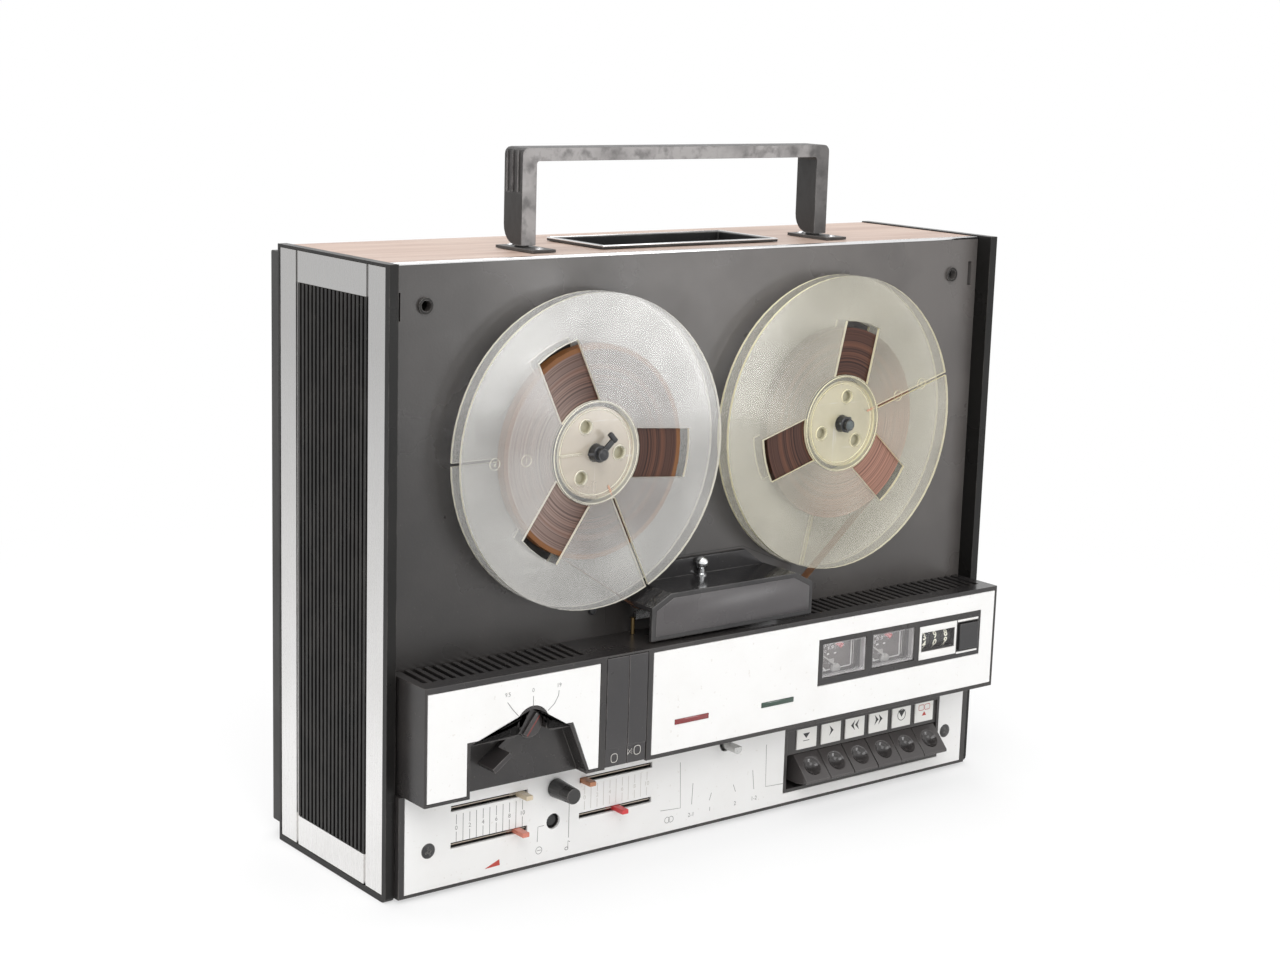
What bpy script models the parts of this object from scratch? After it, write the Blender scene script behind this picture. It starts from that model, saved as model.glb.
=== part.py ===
"""Portable reel-to-reel tape recorder, standing upright, modelled as separate pieces.

Metres, +Z up, the front faces -Y. Sizes are measured from the side panels' front edge (y = 0), from
the middle of the machine (x = 0) and from the surface it stands on (z = 0). Every piece hangs on one
empty, which puts the middle of the whole box over the origin.
"""

import math

import bmesh
import bpy
from mathutils import Matrix, Vector

MM = 0.001

# Clearances.
GAP = 0.3 * MM
OVERRUN = 1.0 * MM
BURY = 0.5 * MM

# Case.
CASE_WIDTH = 443.6 * MM
HALF_WIDTH = CASE_WIDTH / 2
CASE_HEIGHT = 345.6 * MM
CASE_DEPTH = 118.2 * MM
SIDE_WALL = 5.6 * MM
INNER_HALF = HALF_WIDTH - SIDE_WALL
SIDE_LIP_FRONT = 4.0 * MM
SIDE_LIP_REAR = 2.0 * MM
SIDE_LIP_TOP = 1.5 * MM
SIDE_LIP_BOTTOM = 3.5 * MM
SIDE_RECESS = 2.6 * MM
SIDE_CORNER = 4.0 * MM
TRIM_THICK = 2.0 * MM
TRIM_GROOVE = 1.2 * MM
TRIM_GROOVE_WIDTH = 2.2 * MM
TRIM_FRONT_STRIP = 17.4 * MM
TRIM_REAR_STRIP = 17.6 * MM
TRIM_END_PLATE = 17.8 * MM
RIB_COUNT = 18
RIB_WIDTH = 2.1 * MM
RIB_HEIGHT = 2.1 * MM
RIB_BED = 0.2 * MM
SOUND_SLIT_WIDTH = 1.2 * MM
SOUND_SLIT_DROP = 75.6 * MM
SOUND_SLIT_TOP = CASE_HEIGHT - SOUND_SLIT_DROP
SOUND_SLIT_BOTTOM = 92.0 * MM
TOP_BOARD = 8.0 * MM
TOP_SINK = 0.8 * MM
BOTTOM_BOARD = 5.0 * MM
REAR_COVER_DEPTH = 16.3 * MM
REAR_COVER_INSET = 3.0 * MM
REAR_COVER_BOTTOM = 8.0 * MM
REAR_COVER_DROP = 4.9 * MM
REAR_COVER_TOP = CASE_HEIGHT - REAR_COVER_DROP
REAR_COVER_WALL = 2.5 * MM
REAR_COVER_BEVEL = 3.0 * MM
VENT_ROWS = 9
VENT_PITCH = 11.0 * MM
VENT_HEIGHT = 4.0 * MM
VENT_MARGIN = 46.8 * MM
VENT_SPACE = 90.0 * MM
VENT_WIDTH = HALF_WIDTH - VENT_MARGIN - VENT_SPACE / 2
VENT_RIGHT_X = (VENT_SPACE + VENT_WIDTH) / 2
VENT_LEFT_X = -VENT_RIGHT_X
VENT_DROP = 45.6 * MM
VENT_TOP_Z = CASE_HEIGHT - VENT_DROP

# Socket panel in the rear cover.
SOCKET_PANEL_INSET = 121.2 * MM
SOCKET_PANEL_X = SOCKET_PANEL_INSET - INNER_HALF
SOCKET_PANEL_Z = 42.0 * MM
SOCKET_PANEL_WIDTH = 150.0 * MM
SOCKET_PANEL_HEIGHT = 34.0 * MM
SOCKET_PANEL_THICK = 3.0 * MM
SOCKET_COUNT = 5
SOCKET_PITCH = 22.0 * MM
SOCKET_RADIUS = 7.5 * MM
SOCKET_CUP_WALL = 1.5 * MM
SOCKET_CUP_DEPTH = 8.0 * MM
SOCKET_FIRST_SHIFT = 59.0 * MM
SOCKET_FIRST_X = SOCKET_PANEL_X - SOCKET_FIRST_SHIFT
MAINS_INLET_SHIFT = 58.0 * MM
MAINS_INLET_X = SOCKET_PANEL_X + MAINS_INLET_SHIFT
MAINS_INLET_WIDTH = 16.0 * MM
MAINS_INLET_HEIGHT = 12.0 * MM

# Deck plate.
DECK_FRONT = 11.0 * MM
DECK_THICK = 3.0 * MM
DECK_TOP_DROP = 2.1 * MM
SPINDLE_HOLE = 8.0 * MM
COLLAR_INSET = 28.3 * MM
COLLAR_X = HALF_WIDTH - COLLAR_INSET
COLLAR_DROP = 23.6 * MM
COLLAR_Z = CASE_HEIGHT - COLLAR_DROP
COLLAR_RADIUS = 4.6 * MM
COLLAR_HOLE = 3.0 * MM
COLLAR_HEIGHT = 1.4 * MM
LATCH_INSET = 11.8 * MM
LATCH_X = HALF_WIDTH - LATCH_INSET
LATCH_WIDTH = 3.0 * MM
LATCH_DROP = 16.1 * MM
LATCH_LENGTH = 15.0 * MM
LATCH_TOP = CASE_HEIGHT - LATCH_DROP
LATCH_BOTTOM = LATCH_TOP - LATCH_LENGTH

# Control housing.
HOUSING_INSET = 7.8 * MM
HOUSING_HALF = HALF_WIDTH - HOUSING_INSET
HOUSING_FRONT = -26.0 * MM
HOUSING_BOTTOM = 60.4 * MM
HOUSING_TOP = 126.2 * MM
HOUSING_TOP_MID = 126.1 * MM
HOUSING_TOP_REAR = 126.0 * MM
HOUSING_WALL = 2.5 * MM
HOUSING_FACE = 4.0 * MM
HOUSING_BEVEL = 0.5 * MM
LOUVRE_PITCH = 6.0 * MM
LOUVRE_WIDTH = 3.0 * MM
LOUVRE_FRONT = -15.5 * MM
LOUVRE_REAR = 12.0 * MM
LOUVRE_INSET = 5.0 * MM
LOUVRE_LEFT_START = LOUVRE_INSET - HOUSING_HALF
LOUVRE_LEFT_COUNT = 18
LOUVRE_RIGHT_COUNT = 24
LOUVRE_RIGHT_INSET = 148.0 * MM
LOUVRE_RIGHT_START = HOUSING_HALF - LOUVRE_RIGHT_INSET
LOUVRE_SLANT = -1.8 * MM

# Fascia plates.
FASCIA_THICK = 1.5 * MM
FASCIA_SINK = 0.2 * MM
LEFT_FASCIA_INSET = 1.7 * MM
LEFT_FASCIA_WIDTH = 112.3 * MM
LEFT_FASCIA_LEFT = LEFT_FASCIA_INSET - HOUSING_HALF
LEFT_FASCIA_RIGHT = LEFT_FASCIA_LEFT + LEFT_FASCIA_WIDTH
FASCIA_TOP = 122.6 * MM
FASCIA_BOTTOM = 62.4 * MM
LEFT_FASCIA_MARGIN = 25.0 * MM
LEFT_FASCIA_CUT_LEFT = LEFT_FASCIA_LEFT + LEFT_FASCIA_MARGIN
LEFT_FASCIA_CUT_TOP = 92.0 * MM
LEFT_FASCIA_SHOULDER = 18.0 * MM
LEFT_FASCIA_FOOT = 6.4 * MM
LEFT_FASCIA_CUT_RIGHT_TOP = LEFT_FASCIA_RIGHT - LEFT_FASCIA_SHOULDER
LEFT_FASCIA_CUT_RIGHT_FOOT = LEFT_FASCIA_RIGHT - LEFT_FASCIA_FOOT
RIGHT_FASCIA_INSET = 2.2 * MM
FASCIA_SPACE = 37.3 * MM
RIGHT_FASCIA_LEFT = LEFT_FASCIA_RIGHT + FASCIA_SPACE
RIGHT_FASCIA_RIGHT = HOUSING_HALF - RIGHT_FASCIA_INSET
RIGHT_FASCIA_TOP = 123.3 * MM
RIGHT_FASCIA_BOTTOM = 62.9 * MM
LAMP_HEIGHT = 3.3 * MM
RED_LAMP_Z = 79.7 * MM
GREEN_LAMP_Z = 78.8 * MM

# Meters and counter.
BEZEL_INSET = 14.0 * MM
BEZEL_WIDTH = 137.1 * MM
BEZEL_RIGHT = HOUSING_HALF - BEZEL_INSET
BEZEL_LEFT = BEZEL_RIGHT - BEZEL_WIDTH
LAMP_SPACE = BEZEL_LEFT - RIGHT_FASCIA_LEFT
LAMP_SHARE = 0.2
RED_LAMP_SHARE = 0.1298
GREEN_LAMP_SHARE = 0.6481
RED_LAMP_LEFT = RIGHT_FASCIA_LEFT + LAMP_SPACE * RED_LAMP_SHARE
RED_LAMP_RIGHT = RED_LAMP_LEFT + LAMP_SPACE * LAMP_SHARE
GREEN_LAMP_LEFT = RIGHT_FASCIA_LEFT + LAMP_SPACE * GREEN_LAMP_SHARE
GREEN_LAMP_RIGHT = GREEN_LAMP_LEFT + LAMP_SPACE * LAMP_SHARE
BEZEL_BOTTOM = 83.7 * MM
BEZEL_TOP = 112.0 * MM
METER_MARGIN = 3.2 * MM
METER_PITCH = 40.9 * MM
METER_LEFTS = (BEZEL_LEFT + METER_MARGIN, BEZEL_LEFT + METER_MARGIN + METER_PITCH)
METER_WIDTH = 35.4 * MM
METER_BOTTOM = 87.8 * MM
METER_TOP = 109.2 * MM
METER_PIT = 5.0 * MM
METER_BODY_BACK = -7.0 * MM
NEEDLE_LENGTH = 13.5 * MM
NEEDLE_WIDTH = 0.9 * MM
NEEDLE_THICK = 0.8 * MM
NEEDLE_HUB = 2.6 * MM
NEEDLE_HUB_RISE = 2.6 * MM
NEEDLE_REST_ANGLE = 145.0
COUNTER_MARGIN = 85.5 * MM
COUNTER_WIDTH = 28.3 * MM
COUNTER_LEFT = BEZEL_LEFT + COUNTER_MARGIN
COUNTER_RIGHT = COUNTER_LEFT + COUNTER_WIDTH
COUNTER_BOTTOM = 92.3 * MM
COUNTER_TOP = 104.0 * MM
DRUM_COUNT = 3
DRUM_RADIUS = 8.0 * MM
DRUM_BORE = 1.9 * MM
DRUM_AXLE = 1.5 * MM
DRUM_SPACE = 0.5 * MM
CRADLE_WALL = 2.0 * MM
RESET_SPACE = 3.8 * MM
RESET_WIDTH = 17.0 * MM
RESET_LEFT = COUNTER_RIGHT + RESET_SPACE
RESET_RIGHT = RESET_LEFT + RESET_WIDTH
RESET_BOTTOM = 88.5 * MM
RESET_TOP = 106.0 * MM
RESET_PROUD = 1.6 * MM
RESET_LENGTH = 9.0 * MM

# Speed selector and its recess.
SELECTOR_SHIFT = 45.0 * MM
SELECTOR_X = LEFT_FASCIA_RIGHT - SELECTOR_SHIFT
SELECTOR_Z = 95.0 * MM
SELECTOR_RING_OUTER = 11.0 * MM
SELECTOR_RING_INNER = 8.9 * MM
SELECTOR_FLOOR = -16.0 * MM
SELECTOR_RIM = 2.0 * MM
SELECTOR_FLOOR_THICK = 3.0 * MM
SELECTOR_HUB = 7.8 * MM
SELECTOR_HUB_FACE = -23.0 * MM
SELECTOR_SHAFT = 3.0 * MM
SELECTOR_SHAFT_BACK = -3.0 * MM
SELECTOR_ARM_THICK = 3.0 * MM
SELECTOR_ARM_FACE = -19.0 * MM
SELECTOR_TAB_START = 21.0 * MM
SELECTOR_TAB_END = 34.5 * MM
SELECTOR_TAB_FACE = -30.5 * MM
SELECTOR_ARM_ANGLE = 215.7
SELECTOR_RELIEF = 12.5 * MM
SELECTOR_RELIEF_ANGLE = 20.0

# Tall keys beside the left fascia.
TALL_KEY_SPACE = 4.4 * MM
TALL_KEY_LEFT_WIDTH = 15.6 * MM
TALL_KEY_RIGHT_WIDTH = 13.5 * MM
TALL_KEY_LEFT = LEFT_FASCIA_RIGHT + TALL_KEY_SPACE
TALL_KEY_MIDDLE = TALL_KEY_LEFT + TALL_KEY_LEFT_WIDTH
TALL_KEY_RIGHT = TALL_KEY_MIDDLE + TALL_KEY_RIGHT_WIDTH
TALL_KEY_TOP = 124.6 * MM
TALL_KEY_BOTTOM = 61.2 * MM
TALL_KEY_THICK = 3.6 * MM
TALL_KEY_PIVOT_DROP = 5.0 * MM
TALL_KEY_LABEL_RISE = 10.5 * MM
TALL_KEY_LABEL_STEP = 0.5 * MM

# Lower panel.
LOWER_FRONT = -3.5 * MM
LOWER_DEPTH = 11.0 * MM
LOWER_BOTTOM = 2.0 * MM
LOWER_FACE = 4.0 * MM
LOWER_WALL = 2.5 * MM
LOWER_FASCIA_INSET = 4.2 * MM
LOWER_FASCIA_HALF = INNER_HALF - LOWER_FASCIA_INSET
LOWER_FASCIA_BOTTOM = 3.9 * MM
SLOT_HEIGHT = 3.4 * MM
SLOT_MARGIN = 29.4 * MM
LEFT_SLOT_LENGTH = 50.9 * MM
SLOT_SPACE = 35.7 * MM
RIGHT_SLOT_LENGTH = 52.1 * MM
LEFT_SLOT_START = SLOT_MARGIN - LOWER_FASCIA_HALF
LEFT_SLOT_END = LEFT_SLOT_START + LEFT_SLOT_LENGTH
RIGHT_SLOT_START = LEFT_SLOT_END + SLOT_SPACE
RIGHT_SLOT_END = RIGHT_SLOT_START + RIGHT_SLOT_LENGTH
SLOT_UPPER_Z = 47.5 * MM
SLOT_LOWER_Z = 26.3 * MM
LEFT_SLIDER_SHIFTS = (4.9 * MM, 6.9 * MM)
RIGHT_SLIDER_SHIFTS = (2.8 * MM, 26.5 * MM)
SLIDER_REST_XS = (*[LEFT_SLOT_END - shift for shift in LEFT_SLIDER_SHIFTS],
                  *[RIGHT_SLOT_START + shift for shift in RIGHT_SLIDER_SHIFTS])
SLIDER_CAP_WIDTH = 4.6 * MM
SLIDER_CAP_HEIGHT = 2.8 * MM
SLIDER_CAP_FACE = -12.5 * MM
SLIDER_SHOE_WIDTH = 8.0 * MM
SLIDER_SHOE_HEIGHT = 8.0 * MM
SLIDER_SHOE_THICK = 2.0 * MM
TONE_SHIFT = 18.7 * MM
TONE_X = LEFT_SLOT_END + TONE_SHIFT
TONE_Z = 46.7 * MM
TONE_RADIUS = 5.6 * MM
TONE_TIP_RADIUS = 4.6 * MM
TONE_FACE = -21.5 * MM
CONTROL_SHAFT = 3.0 * MM
CONTROL_HOLE = 4.6 * MM
CONTROL_COLLAR = 5.6 * MM
CONTROL_BACK = 10.0 * MM
LEVEL_SHIFT = 17.7 * MM
LEVEL_X = LEFT_SLOT_END + LEVEL_SHIFT
LEVEL_Z = 26.9 * MM
LEVEL_FACE = -1.2 * MM
INPUT_Z = 50.3 * MM
INPUT_FACE = -15.0 * MM
INPUT_FLAT = 1.2 * MM
INPUT_FLAT_LENGTH = 11.0 * MM

# Key bay and piano keys.
BAY_INSET = 21.4 * MM
BAY_WIDTH = 131.6 * MM
BAY_RIGHT = LOWER_FASCIA_HALF - BAY_INSET
BAY_LEFT = BAY_RIGHT - BAY_WIDTH
INPUT_SHARE = 0.5384
INPUT_X = RIGHT_SLOT_END + (BAY_LEFT - RIGHT_SLOT_END) * INPUT_SHARE
BAY_BOTTOM = 10.3 * MM
BAY_TOP = 51.0 * MM
BAY_RIM = 2.0 * MM
BAY_WALL = 2.4 * MM
LABEL_WALL_BOTTOM = 33.6 * MM
LABEL_WALL_SINK = 1.0 * MM
KEY_COUNT = 6
KEY_PITCH = 20.1 * MM
KEY_SPACE = 0.6 * MM
KEY_FIRST_SHIFT = 8.4 * MM
KEY_FIRST_X = BAY_LEFT + KEY_FIRST_SHIFT
KEY_TOP = 33.0 * MM
KEY_TOP_FRONT = -2.0 * MM
KEY_TIP_FRONT = -15.5 * MM
KEY_TIP_TOP = 19.2 * MM
KEY_TIP_EDGE = 1.6 * MM
KEY_UNDERSIDE = 15.6 * MM
KEY_UNDER_FRONT = -6.0 * MM
KEY_BACK = 14.0 * MM
KEY_AXLE_Y = 10.0 * MM
KEY_AXLE_Z = 25.0 * MM
KEY_AXLE = 1.6 * MM
KEY_BORE = 2.1 * MM
KEY_DIMPLE_ROUND = 8.7 * MM
KEY_DIMPLE_DEEP = 2.8 * MM

# Handle.
HANDLE_HALF = 113.0 * MM
HANDLE_LEG = 9.7 * MM
HANDLE_FRONT = 40.5 * MM
HANDLE_BACK = 58.2 * MM
HANDLE_RISE = 53.7 * MM
HANDLE_SPACE = 2.0 * MM
HANDLE_BOTTOM = CASE_HEIGHT + HANDLE_SPACE
HANDLE_TOP = HANDLE_BOTTOM + HANDLE_RISE
HANDLE_GRIP = 7.4 * MM
HANDLE_HEEL = 11.0 * MM
HANDLE_CORNER = 4.0 * MM
HANDLE_INNER_CORNER = 1.5 * MM
HANDLE_GROOVE_COUNT = 3
HANDLE_GROOVE_WIDTH = 3.4 * MM
HANDLE_GROOVE_DEPTH = 1.0 * MM
HANDLE_GROOVE_LENGTH = 24.6 * MM
HANDLE_GROOVE_FOOT = HANDLE_TOP - HANDLE_GROOVE_LENGTH
HANDLE_SLOT = 4.2 * MM
HANDLE_EAR = 3.4 * MM
HANDLE_EAR_RADIUS = 4.6 * MM
HANDLE_PIN = 2.0 * MM
HANDLE_PIN_BORE = 2.5 * MM
HANDLE_PIN_REACH = 1.6 * MM
FOOT_LENGTH = 36.0 * MM
FOOT_WIDTH = 16.0 * MM
FOOT_THICK = 1.6 * MM
FOOT_REAR_REACH = 3.0 * MM

# Well in the top panel.
WELL_HALF = 65.0 * MM
WELL_FRONT = 29.5 * MM
WELL_BACK = 84.5 * MM
WELL_RIM = 3.0 * MM
WELL_RIM_RISE = 2.2 * MM
WELL_WALL = 1.8 * MM
WELL_DEPTH = 22.0 * MM

# Reels, spindles and tape.
REEL_XS = (-91.5 * MM, 92.0 * MM)
REEL_ZS = (237.0 * MM, 238.0 * MM)
REEL_RADIUS = 89.0 * MM
REEL_FRONT = -5.4 * MM
REEL_REAR = 5.0 * MM
FLANGE_THICK = 1.7 * MM
REEL_HUB = 29.0 * MM
REEL_HUB_RING = 26.0 * MM
REEL_HUB_SINK = 1.6 * MM
REEL_BORE = 4.3 * MM
REEL_LUG_HOLE = 3.7 * MM
REEL_LUG_RADIUS = 16.5 * MM
WINDOW_HALF_WIDTHS = (14.0 * MM, 13.5 * MM)
WINDOW_OUTERS = (65.5 * MM, 62.0 * MM)
WINDOW_INNER_SPACE = 0.6 * MM
WINDOW_ANGLES = (-5.0, 77.0)
SLIT_ANGLES = (-64.5, 16.0)
SLIT_WIDTH = 1.9 * MM
REAR_SLIT_ANGLES = (180.0, 257.0)
TAPE_WIDTH = 6.25 * MM
TAPE_MIDDLE = -0.2 * MM
PACK_RADII = (60.5 * MM, 58.0 * MM)
PLATTER_RADIUS = 32.0 * MM
PLATTER_THICK = 4.0 * MM
SPINDLE_RADIUS = 3.8 * MM
SPINDLE_CAP = 4.8 * MM
SPINDLE_CAP_LENGTH = 5.5 * MM
SPINDLE_TIP = 3.4 * MM
SPINDLE_TIP_LENGTH = 2.5 * MM
SPINDLE_SHAFT = 3.0 * MM
SPINDLE_PULLEY = 20.0 * MM
SPINDLE_PULLEY_THICK = 6.0 * MM
SPINDLE_PULLEY_SPACE = 3.0 * MM

# Head cover and heads.
COVER_HALF = 60.5 * MM
COVER_FRONT = -20.0 * MM
COVER_BOTTOM = 127.6 * MM
COVER_TOP = 154.5 * MM
COVER_CORNER_X = 13.5 * MM
COVER_CORNER_Z = 7.0 * MM
COVER_WALL = 2.5 * MM
GUARD_TOP_HALF = 31.0 * MM
GUARD_TOP = 165.0 * MM
GUARD_THICK = 2.0 * MM
HEAD_BASE_LEFT = -50.0 * MM
HEAD_BASE_RIGHT = 58.0 * MM
HEAD_BASE_BOTTOM = 133.0 * MM
HEAD_BASE_TOP = 151.0 * MM
HEAD_BASE_THICK = 2.2 * MM
HEAD_BASE_CORNER_X = 12.0 * MM
HEAD_BASE_CORNER_Z = 6.3 * MM
TAPE_LINE = 139.0 * MM
HEAD_XS = (-27.0 * MM, 0.0)
HEAD_WIDTHS = (10.0 * MM, 14.0 * MM)
HEAD_HEIGHT = 10.5 * MM
HEAD_FRONT = -4.5 * MM
GUIDE_XS = (-42.0 * MM, 54.0 * MM)
GUIDE_RADIUS = 2.0 * MM
CAPSTAN_X = 26.0 * MM
CAPSTAN_RADIUS = 2.4 * MM
CAPSTAN_FRONT = -5.0 * MM
CAPSTAN_HOLE = 3.2 * MM
ROLLER_RADIUS = 5.0 * MM
ROLLER_LENGTH = 8.5 * MM
ROLLER_LIFT = 1.5 * MM
ROLLER_BORE = 2.0 * MM
ROLLER_AXLE = 1.5 * MM
ARM_REACH = 20.0 * MM
ARM_WIDTH = 6.0 * MM
ARM_THICK = 1.6 * MM
ARM_PIVOT = 1.6 * MM

# Chassis, drive and electronics.
CHASSIS_FRONT = 30.0 * MM
CHASSIS_THICK = 2.0 * MM
CHASSIS_INSET = 38.2 * MM
CHASSIS_HALF = INNER_HALF - CHASSIS_INSET
CHASSIS_BOTTOM = 74.0 * MM
CHASSIS_DROP = 27.6 * MM
CHASSIS_TOP = CASE_HEIGHT - CHASSIS_DROP
CHASSIS_STUD = 4.0 * MM
CHASSIS_STUD_INSET = 12.0 * MM
BEARING_CLEAR = 0.4 * MM
MOTOR_X = -70.0 * MM
MOTOR_Z = 116.0 * MM
MOTOR_RADIUS = 30.0 * MM
MOTOR_LENGTH = 42.0 * MM
MOTOR_SHAFT = 2.5 * MM
MOTOR_SHAFT_LENGTH = 18.0 * MM
PULLEY_RADIUS = 8.0 * MM
PULLEY_THICK = 9.0 * MM
FLYWHEEL_RADIUS = 36.0 * MM
FLYWHEEL_THICK = 11.0 * MM
BELT_THICK = 1.2 * MM
BELT_WIDTH = 4.0 * MM
TRANSFORMER_INSET = 76.2 * MM
TRANSFORMER_REAR_SPACE = 40.2 * MM
TRANSFORMER_X = INNER_HALF - TRANSFORMER_INSET
TRANSFORMER_Y = CASE_DEPTH - TRANSFORMER_REAR_SPACE
TRANSFORMER_SIZE = (62.0 * MM, 44.0 * MM, 52.0 * MM)
TRANSFORMER_COIL = 5.0 * MM
BOARD_INSET = 28.2 * MM
BOARD_LENGTH = 168.0 * MM
BOARD_LEFT = BOARD_INSET - INNER_HALF
BOARD_RIGHT = BOARD_LEFT + BOARD_LENGTH
BOARD_REAR_SPACE = 18.2 * MM
BOARD_Y = CASE_DEPTH - BOARD_REAR_SPACE
BOARD_THICK = 1.6 * MM
BOARD_HEIGHT = 62.0 * MM
HEATSINK_WIDTH = 60.0 * MM
HEATSINK_DEPTH = 12.0 * MM
HEATSINK_HEIGHT = 34.0 * MM
CAPACITOR_RADIUS = 7.0 * MM
CAPACITOR_LENGTH = 13.0 * MM
CAPACITOR_SHIFTS = (28.0 * MM, 50.0 * MM, 148.0 * MM)
CAPACITOR_XS = [BOARD_LEFT + shift for shift in CAPACITOR_SHIFTS]
CAPACITOR_RISE = 18.0 * MM
HEATSINK_SHIFT = 98.0 * MM
HEATSINK_X = BOARD_LEFT + HEATSINK_SHIFT
HEATSINK_FIN_COUNT = 7
SPEAKER_Y = 62.0 * MM
SPEAKER_Z = 182.0 * MM
SPEAKER_RADIUS = 46.0 * MM
SPEAKER_RIM = 3.0 * MM
SPEAKER_CONE_DEPTH = 15.0 * MM
SPEAKER_MAGNET = 21.0 * MM
SPEAKER_MAGNET_DEPTH = 9.0 * MM

# Front and rear ends of the whole box, from which its middle follows.
BOX_FRONT = SELECTOR_TAB_FACE
BOX_REAR = CASE_DEPTH + REAR_COVER_DEPTH

# Turns, in degrees.
FULL_TURN = 360.0
HALF_TURN = 180.0
QUARTER_TURN = 90.0

# Roundness, as sides per full turn.
FLANGE_SIDE_COUNT = 72
LARGE_SIDE_COUNT = 40
MEDIUM_SIDE_COUNT = 24
SMALL_SIDE_COUNT = 16
CORNER_STEP_COUNT = 4
BEND_STEP_COUNT = 2
EAR_STEP_COUNT = 8
HEEL_STEP_COUNT = 6
WINDOW_COUNT = 3
WINDOW_INNER_STEP_COUNT = 6
WINDOW_OUTER_STEP_COUNT = 4
SHARP_ANGLE = 35.0
DIMPLE_SIDE_COUNT = 20
DIMPLE_RING_COUNT = 14

TOP_FACE = CASE_HEIGHT - TOP_SINK
BOARD_UNDERSIDE = TOP_FACE - TOP_BOARD
DECK_BACK = DECK_FRONT + DECK_THICK
FLOOR_TOP = BOTTOM_BOARD
HANDLE_PIVOT_Y = HANDLE_BACK - HANDLE_HEEL
HANDLE_PIVOT_Z = HANDLE_BOTTOM + HANDLE_HEEL
TAPE_FRONT = TAPE_MIDDLE - TAPE_WIDTH / 2
TAPE_REAR = TAPE_MIDDLE + TAPE_WIDTH / 2
FLYWHEEL_Z = TAPE_LINE - CAPSTAN_RADIUS - GAP
CHASSIS_BACK = CHASSIS_FRONT + CHASSIS_THICK
DRIVE_FRONT = CHASSIS_BACK + GAP + MOTOR_LENGTH + 2 * GAP
DRUM_Y = HOUSING_FRONT + FASCIA_SINK + FASCIA_THICK + 2 * GAP + DRUM_RADIUS
DRUM_Z = (COUNTER_BOTTOM + COUNTER_TOP) / 2


def clear_scene():
    """Takes away whatever the scene holds."""
    for old in list(bpy.data.objects):
        bpy.data.objects.remove(old, do_unlink=True)


def material(name, colour, roughness, metallic=0.0, alpha=1.0):
    """A Principled surface with one colour."""
    surface = bpy.data.materials.new(name)
    surface.use_nodes = True
    shader = surface.node_tree.nodes["Principled BSDF"]
    shader.inputs["Base Color"].default_value = (*colour, 1.0)
    shader.inputs["Roughness"].default_value = roughness
    shader.inputs["Metallic"].default_value = metallic
    shader.inputs["Alpha"].default_value = alpha
    return surface


def mesh_from(shape, name):
    """A mesh with outward faces from (points, faces)."""
    points, faces = shape
    mesh = bpy.data.meshes.new(name)
    shell = bmesh.new()
    corners = [shell.verts.new(point) for point in points]
    for face in faces:
        shell.faces.new([corners[index] for index in face])
    bmesh.ops.recalc_face_normals(shell, faces=shell.faces[:])
    shell.to_mesh(mesh)
    shell.free()
    return mesh


def box(x0, x1, y0, y1, z0, z1):
    """A block between two corners."""
    points = [(x, y, z) for x in (x0, x1) for y in (y0, y1) for z in (z0, z1)]
    faces = [(0, 1, 3, 2), (4, 6, 7, 5), (0, 4, 5, 1), (2, 3, 7, 6), (0, 2, 6, 4), (1, 5, 7, 3)]
    return points, faces


def loft(rings):
    """A closed body through rings of equally many points."""
    count = len(rings[0])
    points = [point for ring in rings for point in ring]
    faces = [tuple(range(count)), tuple(range(len(points) - count, len(points)))]
    for step in range(len(rings) - 1):
        for index in range(count):
            following = (index + 1) % count
            low = step * count
            faces.append((low + index, low + following, low + count + following, low + count + index))
    return points, faces


def prism_y(outline, y0, y1):
    """An outline of (x, z) points, drawn out along Y."""
    return loft([[(x, y, z) for x, z in outline] for y in (y0, y1)])


def prism_x(outline, x0, x1):
    """An outline of (y, z) points, drawn out along X."""
    return loft([[(x, y, z) for y, z in outline] for x in (x0, x1)])


def prism_z(outline, z0, z1):
    """An outline of (x, y) points, drawn out along Z."""
    return loft([[(x, y, z) for x, y in outline] for z in (z0, z1)])


def arc(centre, radius, start, end, steps):
    """Points of an arc in a plane, in degrees, both ends included."""
    turns = [math.radians(start + (end - start) * step / steps) for step in range(steps + 1)]
    return [(centre[0] + radius * math.cos(t), centre[1] + radius * math.sin(t)) for t in turns]


def circle(centre, radius, sides):
    """Points of a full circle in a plane."""
    return arc(centre, radius, 0, FULL_TURN - FULL_TURN / sides, sides - 1)


def rounded(x0, x1, z0, z1, radii, steps=CORNER_STEP_COUNT):
    """A rectangle with round corners, from the lower left, anticlockwise."""
    middles = ((x0, z0, 1, 1, HALF_TURN), (x1, z0, -1, 1, HALF_TURN + QUARTER_TURN),
               (x1, z1, -1, -1, 0), (x0, z1, 1, -1, QUARTER_TURN))
    outline = []
    for (x, z, to_x, to_z, start), radius in zip(middles, radii):
        if radius > 0:
            centre = (x + to_x * radius, z + to_z * radius)
            outline += arc(centre, radius, start, start + QUARTER_TURN, steps)
        else:
            outline.append((x, z))
    return outline


def rod_y(x, z, radius, y0, y1, sides=MEDIUM_SIDE_COUNT):
    """A round bar along Y."""
    return prism_y(circle((x, z), radius, sides), y0, y1)


def rod_x(y, z, radius, x0, x1, sides=MEDIUM_SIDE_COUNT):
    """A round bar along X."""
    return prism_x(circle((y, z), radius, sides), x0, x1)


def turned_y(x, z, profile, sides):
    """A body turned about an axis along Y, from (radius, y) pairs; it may have a bore."""
    rings = []
    for radius, y in profile:
        rings.append([(x + u, y, z + v) for u, v in circle((0, 0), radius, sides)])
    return ring_body(rings)


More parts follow.
